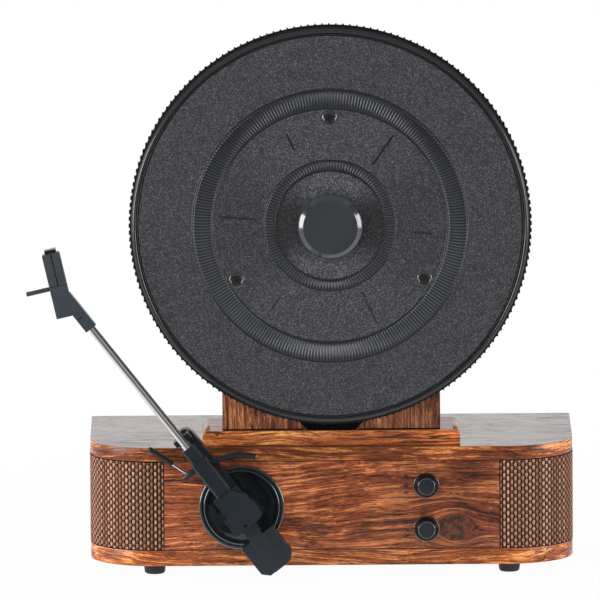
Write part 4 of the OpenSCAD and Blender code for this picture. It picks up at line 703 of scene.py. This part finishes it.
# The floors of the tick grooves are painted in shade, darker above the spindle than below it.
tick_end = tick_y + tick_deep
tick = product(tree, span(tree, radius, tick_in, tick_in + tick_soft, tick_out, tick_out + tick_soft),
               span(tree, depth, tick_y, tick_y + edge_soft, tick_end, tick_end + edge_soft),
               rise(tree, upright, -0.7, 0.5, 0.40, 0.85))
colour = tint(tree, "MIX", tick, colour, tick_shade)
# The rim outside the fleck is smooth and glossy. The floor of the groove along its inner edge is painted
# black, which is painted shade.
rim = rise(tree, radius, field_r, field_r + edge_soft)
colour = tint(tree, "MIX", rim, colour, rim_dark)
groove_r = field_r + groove_w
groove = product(tree, rim, rise(tree, depth, groove_y, groove_y + edge_soft),
                 rise(tree, radius, groove_r, groove_r + edge_soft, 1.0, 0.0))
dull = rise(tree, fleck["Green"], 0.0, 1.0, 0.42, 0.56)
dimples = product(tree, fleck["Blue"], reckon(tree, "SUBTRACT", 1.0, rim))
bump = shader(tree, "Bump", {"Height": dimples, "Strength": 0.5, "Distance": fleck_relief}).outputs[0]
fill(tree, body, {
    "Base Color": tint(tree, "MIX", groove, colour, groove_shade),
    "Roughness": reckon(tree, "SUBTRACT", dull, product(tree, rim, 0.30)),
    "Normal": bump})
dress(platter_skin, "platter")
moulded("grip_satin", (0.014, 0.014, 0.015, 1), (0.024, 0.024, 0.025, 1), size_mm=0.6, share=0.4, gloss=0.55,
        drift=0.08, relief_mm=0.01, wears=("grip_band",), Specular_IOR_Level=0.0)
moulded("clamp_gloss", (0.024, 0.028, 0.033, 1), (0.042, 0.047, 0.053, 1), size_mm=0.7, share=0.35,
        gloss=0.16, drift=0.06, relief_mm=0.008, wears=("record_clamp",),
        Specular_IOR_Level=1.0, Coat_Weight=0.5, Coat_Roughness=0.04)
ease_edges(0.5, "record_clamp")

# Ribbed rings: moulded with the disc on its two slopes, of the same plastic without the fleck. The crests
# of the ribs are painted lighter than the hollows, which is painted light on the crests and painted shade in
# the hollows.
hollow_shade, crest_lit = (0.006, 0.007, 0.009, 1), (0.070, 0.077, 0.087, 1)
hollow_shade_speck, crest_lit_speck = (0.010, 0.011, 0.013, 1), (0.096, 0.104, 0.115, 1)
rib_sink, per_rib, rib_rows, ring_middle_y = 0.0003, 6, 9, -0.0965
rib_skin, tree, body = fresh_material("rib_plastic")
crest_light = attribute(tree, "crest_light")
look = placed(tree, speckle, {"At": place_of(tree), "Size mm": 0.6, "Share": 0.4, "Gloss": 0.30,
                              "Drift": 0.06,
                              "Ground": tint(tree, "MIX", crest_light, hollow_shade, crest_lit),
                              "Speck": tint(tree, "MIX", crest_light, hollow_shade_speck, crest_lit_speck)})
surface(tree, body, look, 0.004)
for title, ribs, rib_h, arch, inner, outer, tones in (
        ("large_rib_ring", 267, 0.00065, 0.0007, (0.0896, -0.09633), (0.1050, -0.09797),
         (0.66, 0.88, 0.76, 0.42, 0.14, 0.36)),
        ("small_rib_ring", 130, 0.00055, 0.0004, (0.0421, -0.09563), (0.0502, -0.09628),
         (0.56, 0.56, 0.56, 0.50, 0.44, 0.54))):
    # From inner to outer, given as radius and y, a ring is arched across: 4 arch s (1 - s) at a share s of
    # its width. Its front also rises and falls by rib_h once for each rib, less at the two edges, and its
    # edges sink into the slope. Its crests are painted lighter by tones, given at six heights from its foot
    # to
    # its top, which is painted light: on the large ring brightest low down and darkest near the top.
    turn = np.arange(per_rib * ribs) * 2 * np.pi / (per_rib * ribs)
    share = np.linspace(0, 1, rib_rows)[:, None]
    wave = np.sin(np.pi * share) ** 0.35 * (0.5 + 0.5 * np.cos(ribs * turn))
    height = arch * 4 * share * (1 - share) + rib_h * wave
    sunk = np.full((1, len(turn)), -rib_sink)
    flat = np.zeros((1, len(turn)))
    share, wave = np.vstack((share[:1], share, share[-1:])), np.vstack((flat, wave, flat))
    height = np.vstack((sunk, height, sunk))
    reach = inner[0] + share * (outer[0] - inner[0])
    slope = inner[1] + share * (outer[1] - inner[1])
    grid = np.stack([reach * np.cos(turn), slope - height, spindle_z + reach * np.sin(turn)], -1)
    piece = skin(title, grid, inside=(0, ring_middle_y, spindle_z), around=(True, True))
    # Painted light and shade: each crest's lightness is scaled by tones round the ring.
    wear_and_light = wave * np.interp(np.sin(turn), (-1, -0.7, -0.26, 0.26, 0.7, 1), tones)
    layer = piece.data.attributes.new("crest_light", "FLOAT", "POINT")
    layer.data.foreach_set("value", wear_and_light.ravel().astype(np.float32))
    piece.data.shade_smooth()
    piece.data.materials.append(rib_skin)
    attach(piece, "turntable")

# Beads and screw sockets: round beads along the edges of both ribbed rings, on the rim and round the three
# screw recesses, moulded with the disc, and thin near-black six-sided plates on the heads of the platter's
# screws, painted shade that stands for their sockets.
bead_skin = moulded("bead_gloss", (0.016, 0.017, 0.019, 1), (0.032, 0.033, 0.035, 1), size_mm=0.5, share=0.3,
                    gloss=0.20, drift=0.05, relief_mm=0.0, Specular_IOR_Level=0.9)
edge_gloss = metal("polished_edge", (0.20, 0.21, 0.22, 1), (0.14, 0.15, 0.16, 1), (400, 400, 400), 0.16)
socket_shade = moulded("socket_shade", (0.002, 0.002, 0.002, 1), (0.004, 0.004, 0.004, 1), size_mm=0.4,
                      share=0.2, gloss=0.7, drift=0.05, relief_mm=0.0)
screw_r, screw_turns = 0.0828, np.radians((90, 210, 330))
recess_r, recess_y, recess_bead = 0.0049, -0.0963, 0.0007
socket_r, socket_hole, socket_y, head_y = 0.0012, 0.00005, -0.09613, -0.09600
bead_points, wide_turns, small_turns, small_reach = 10, 200, 72, 0.01


def bead(name, x, y, z, reach, thick, material, body):
    """A half-round bead round an axis along Y: a circle of radius thick, squeezed to half along Y and
    carried round at the distance reach."""
    turns = wide_turns if reach > small_reach else small_turns
    turn = np.linspace(0, 2 * np.pi, turns, endpoint=False)[:, None]
    section = np.linspace(0, 2 * np.pi, bead_points, endpoint=False)
    out = reach + thick * np.cos(section)
    proud = np.broadcast_to(y - 0.5 * thick * np.sin(section), (turns, bead_points))
    grid = np.stack([x + out * np.cos(turn), proud, z + out * np.sin(turn)], -1)
    piece = skin(name, grid, inside=(x, y, z), around=(True, True))
    piece.data.shade_smooth()
    piece.data.materials.append(material)
    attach(piece, body)


for title, reach, y, thick in (
        ("ring_bead_1", 0.0894, -0.09630, 0.0004), ("ring_bead_2", 0.1053, -0.09800, 0.0004),
        ("ring_bead_3", 0.0418, -0.09560, 0.0003), ("ring_bead_4", 0.0505, -0.09630, 0.0003),
        ("rim_ridge", 0.1471, -0.09740, 0.0004), ("rim_round", 0.1494, -0.09790, 0.0011)):
    bead(title, 0, y, spindle_z, reach, thick, bead_skin, "turntable")
for number, angle in enumerate(screw_turns, 1):
    x, z = screw_r * np.cos(angle), spindle_z + screw_r * np.sin(angle)
    bead("screw_bead_%d" % number, x, recess_y, z, recess_r, recess_bead, edge_gloss, "turntable")
for number, angle in enumerate(screw_turns, 1):
    x, z = screw_r * np.cos(angle), spindle_z + screw_r * np.sin(angle)
    turn = np.radians(np.arange(6) * 60.0)
    reach = np.array((socket_hole, socket_r, socket_r))[:, None]
    depth = np.broadcast_to(np.array([[socket_y], [socket_y], [head_y]]), (3, len(turn)))
    grid = np.stack([x + reach * np.cos(turn), depth, z + reach * np.sin(turn)], -1)
    piece = skin("screw_socket_%d" % number, grid, inside=(x, head_y, z), around=(False, True))
    piece.data.materials.append(socket_shade)
    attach(piece, "turntable")

# Controls: two knobs of glossy black plastic with a fluted shoulder, pushed on the shafts of two rotary
# switches, with small printed marks beside them.
flutes, flute_d, per_flute, flute_heights = 36, 0.00032, 6, (0.0029, 0.0031, 0.0040, 0.0049, 0.0052)
shoulder_r, shoulder_h, shoulder_fall, sleeve_t = 0.00918, 0.003, 0.381, 0.0006
skirt_h, skirt_r, skirt_bead = 0.0026, 0.00945, 0.0004
face_sink, face_r, face_bead, lit_face_deep = 0.0001, 0.00622, 0.0003, (0.0004, 0.0014)
knob_front, knob_back = extent("speed_knob")["Y"]
knob_black, face_lit = (0.004, 0.004, 0.005, 1), (0.018, 0.021, 0.025, 1)
knob_speck, face_speck = (0.008, 0.008, 0.009, 1), (0.032, 0.035, 0.040, 1)
knob_gloss, tree, body = fresh_material("knob_gloss")
at = place_of(tree)
# Painted light: the front face is painted lighter than the black skirt and shoulder.
deep = reckon(tree, "SUBTRACT", parts_of(tree, at)["Y"], knob_front)
lit_face = rise(tree, deep, *lit_face_deep, 1.0, 0.0)
look = placed(tree, speckle, {"At": at, "Size mm": 0.7, "Share": 0.35, "Gloss": 0.22, "Drift": 0.08,
                              "Ground": tint(tree, "MIX", lit_face, knob_black, face_lit),
                              "Speck": tint(tree, "MIX", lit_face, knob_speck, face_speck)})
surface(tree, body, look, 0.008, Specular_IOR_Level=0.25)
dress(knob_gloss, "speed_knob", "function_knob")
ease_edges(0.35, "speed_knob", "function_knob")
for title, control, joint in (("speed_flutes", "speed_control", "speed_turn"),
                              ("function_flutes", "function_control", "function_turn")):
    # A fluted sleeve on the sloping shoulder: its radius falls from shoulder_r by shoulder_fall of the
    # height over shoulder_h, and swells by flute_d once for each flute, but not at its two ends.
    turn = np.arange(flutes * per_flute) * 2 * np.pi / (flutes * per_flute)
    x, z = axis_of(joint)
    height = np.array(flute_heights)[:, None]
    fluted = np.array((0, 1, 1, 1, 0))[:, None]
    swell = flute_d * (0.5 + 0.5 * np.cos(flutes * turn)) * fluted
    reach = shoulder_r - (height - shoulder_h) * shoulder_fall + swell
    height = np.vstack((height, height[-1:], height[:1]))
    reach = np.vstack((reach, reach[-1:] - sleeve_t, reach[:1] - sleeve_t))
    proud = np.broadcast_to(knob_back - height, reach.shape)
    grid = np.stack([x + reach * np.cos(turn), proud, z + reach * np.sin(turn)], -1)
    piece = skin(title, grid, inside=(x, knob_back, z), around=(True, True))
    piece.data.materials.append(knob_gloss)
    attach(piece, control)
    for edge, y, edge_r, thick in (("_skirt_edge", knob_back - skirt_h, skirt_r, skirt_bead),
                                   ("_face_edge", knob_front + face_sink, face_r, face_bead)):
        bead(control + edge, x, y, z, edge_r, thick, edge_gloss, control)

ink = moulded("print_ink", (0.006, 0.004, 0.003, 1), (0.012, 0.008, 0.006, 1), size_mm=0.3, share=0.3,
              gloss=0.6, drift=0.1, relief_mm=0.0)
ink_t = 0.00003


def printed(name, letters, x, z, size, stroke):
    """Letters of a height of about 0.7 size, made bolder by stroke, flat on the front panel with their
    middle at x, z."""
    words = bpy.data.curves.new(name, "FONT")
    words.body = letters
    words.size = size
    words.extrude = ink_t
    words.offset = stroke
    words.align_x = "CENTER"
    words.align_y = "CENTER"
    shape = bpy.data.objects.new(name + "_curve", words)
    bpy.context.scene.collection.objects.link(shape)
    bpy.context.view_layer.update()
    mesh = bpy.data.meshes.new_from_object(shape.evaluated_get(bpy.context.evaluated_depsgraph_get()))
    bpy.data.objects.remove(shape)
    mesh.transform(Matrix.Translation((x, panel_y - ink_t, z)) @ Matrix.Rotation(np.pi / 2, 4, "X"))
    mesh.name = name
    made = bpy.data.objects.new(name, mesh)
    bpy.context.scene.collection.objects.link(made)
    mesh.materials.clear()
    mesh.materials.append(ink)
    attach(made, "cabinet")


for name, letters, x, z, size, stroke in (
        ("mark_78", "78", 0.0570, 0.0777, 0.0036, 0.00018),
        ("mark_45", "45", 0.0570, 0.0715, 0.0036, 0.00018),
        ("mark_33", "33", 0.0570, 0.0652, 0.0036, 0.00018),
        ("mark_line", "I", 0.0576, 0.0431, 0.0036, 0.00040),
        ("mark_dash", "-", 0.0578, 0.0371, 0.0052, 0.00030),
        ("mark_off", "OFF", 0.0575, 0.0325, 0.0033, 0.00015)):
    printed(name, letters, x, z, size, stroke)

# Tonearm: a glossy dish in the panel carries a turret, and satin black mouldings on its pins hold
# a chromed tube with a headshell, a cartridge with a red stylus, and a counterweight.
dish_x, dish_z = axis_of("arm_swing")
moulded("dish_gloss", (0.008, 0.010, 0.012, 1), (0.022, 0.025, 0.028, 1), size_mm=0.8, share=0.3, gloss=0.10,
        drift=0.05, relief_mm=0.006, wears=("arm_base",), Coat_Weight=0.6, Coat_Roughness=0.03)
moulded("arm_satin", (0.006, 0.011, 0.016, 1), (0.018, 0.025, 0.032, 1), size_mm=0.45, share=0.4, gloss=0.34,
        drift=0.10, relief_mm=0.012,
        wears=("arm_carrier", "pivot_cap", "counterweight", "arm_turret", "arm_rest", "lifter", "cue_lever"))
moulded("head_satin", (0.034, 0.042, 0.052, 1), (0.052, 0.062, 0.074, 1), size_mm=0.45, share=0.4, gloss=0.34,
        drift=0.10, relief_mm=0.012, wears=("headshell",))
moulded("cartridge_gloss", (0.038, 0.043, 0.049, 1), (0.058, 0.064, 0.070, 1), size_mm=0.5, share=0.3,
        gloss=0.28, drift=0.08, relief_mm=0.008, wears=("cartridge",))
moulded("stylus_red", (0.012, 0.003, 0.004, 1), (0.060, 0.006, 0.010, 1), size_mm=1.6, share=0.6, gloss=0.25,
        drift=0.08, relief_mm=0.008, wears=("stylus",))
moulded("grip_rubber", (0.010, 0.010, 0.011, 1), (0.024, 0.024, 0.025, 1), size_mm=0.5, share=0.4, gloss=0.34,
        drift=0.08, relief_mm=0.01, wears=("cue_grip",))
metal("bright_chrome", (0.80, 0.80, 0.81, 1), (0.66, 0.66, 0.67, 1), (500, 500, 500), 0.02,
      "arm_tube", "cue_rod")
ease_edges(0.6, "arm_carrier", "pivot_cap", "counterweight", "arm_rest", "headshell", "cartridge",
           "arm_turret", "cue_lever", "arm_base")
for title, y, reach, thick in (("dish_rim", -0.0842, 0.0317, 0.0008), ("dish_ring", -0.0840, 0.0284, 0.0006)):
    bead(title, dish_x, y, dish_z, reach, thick, edge_gloss, "cabinet")
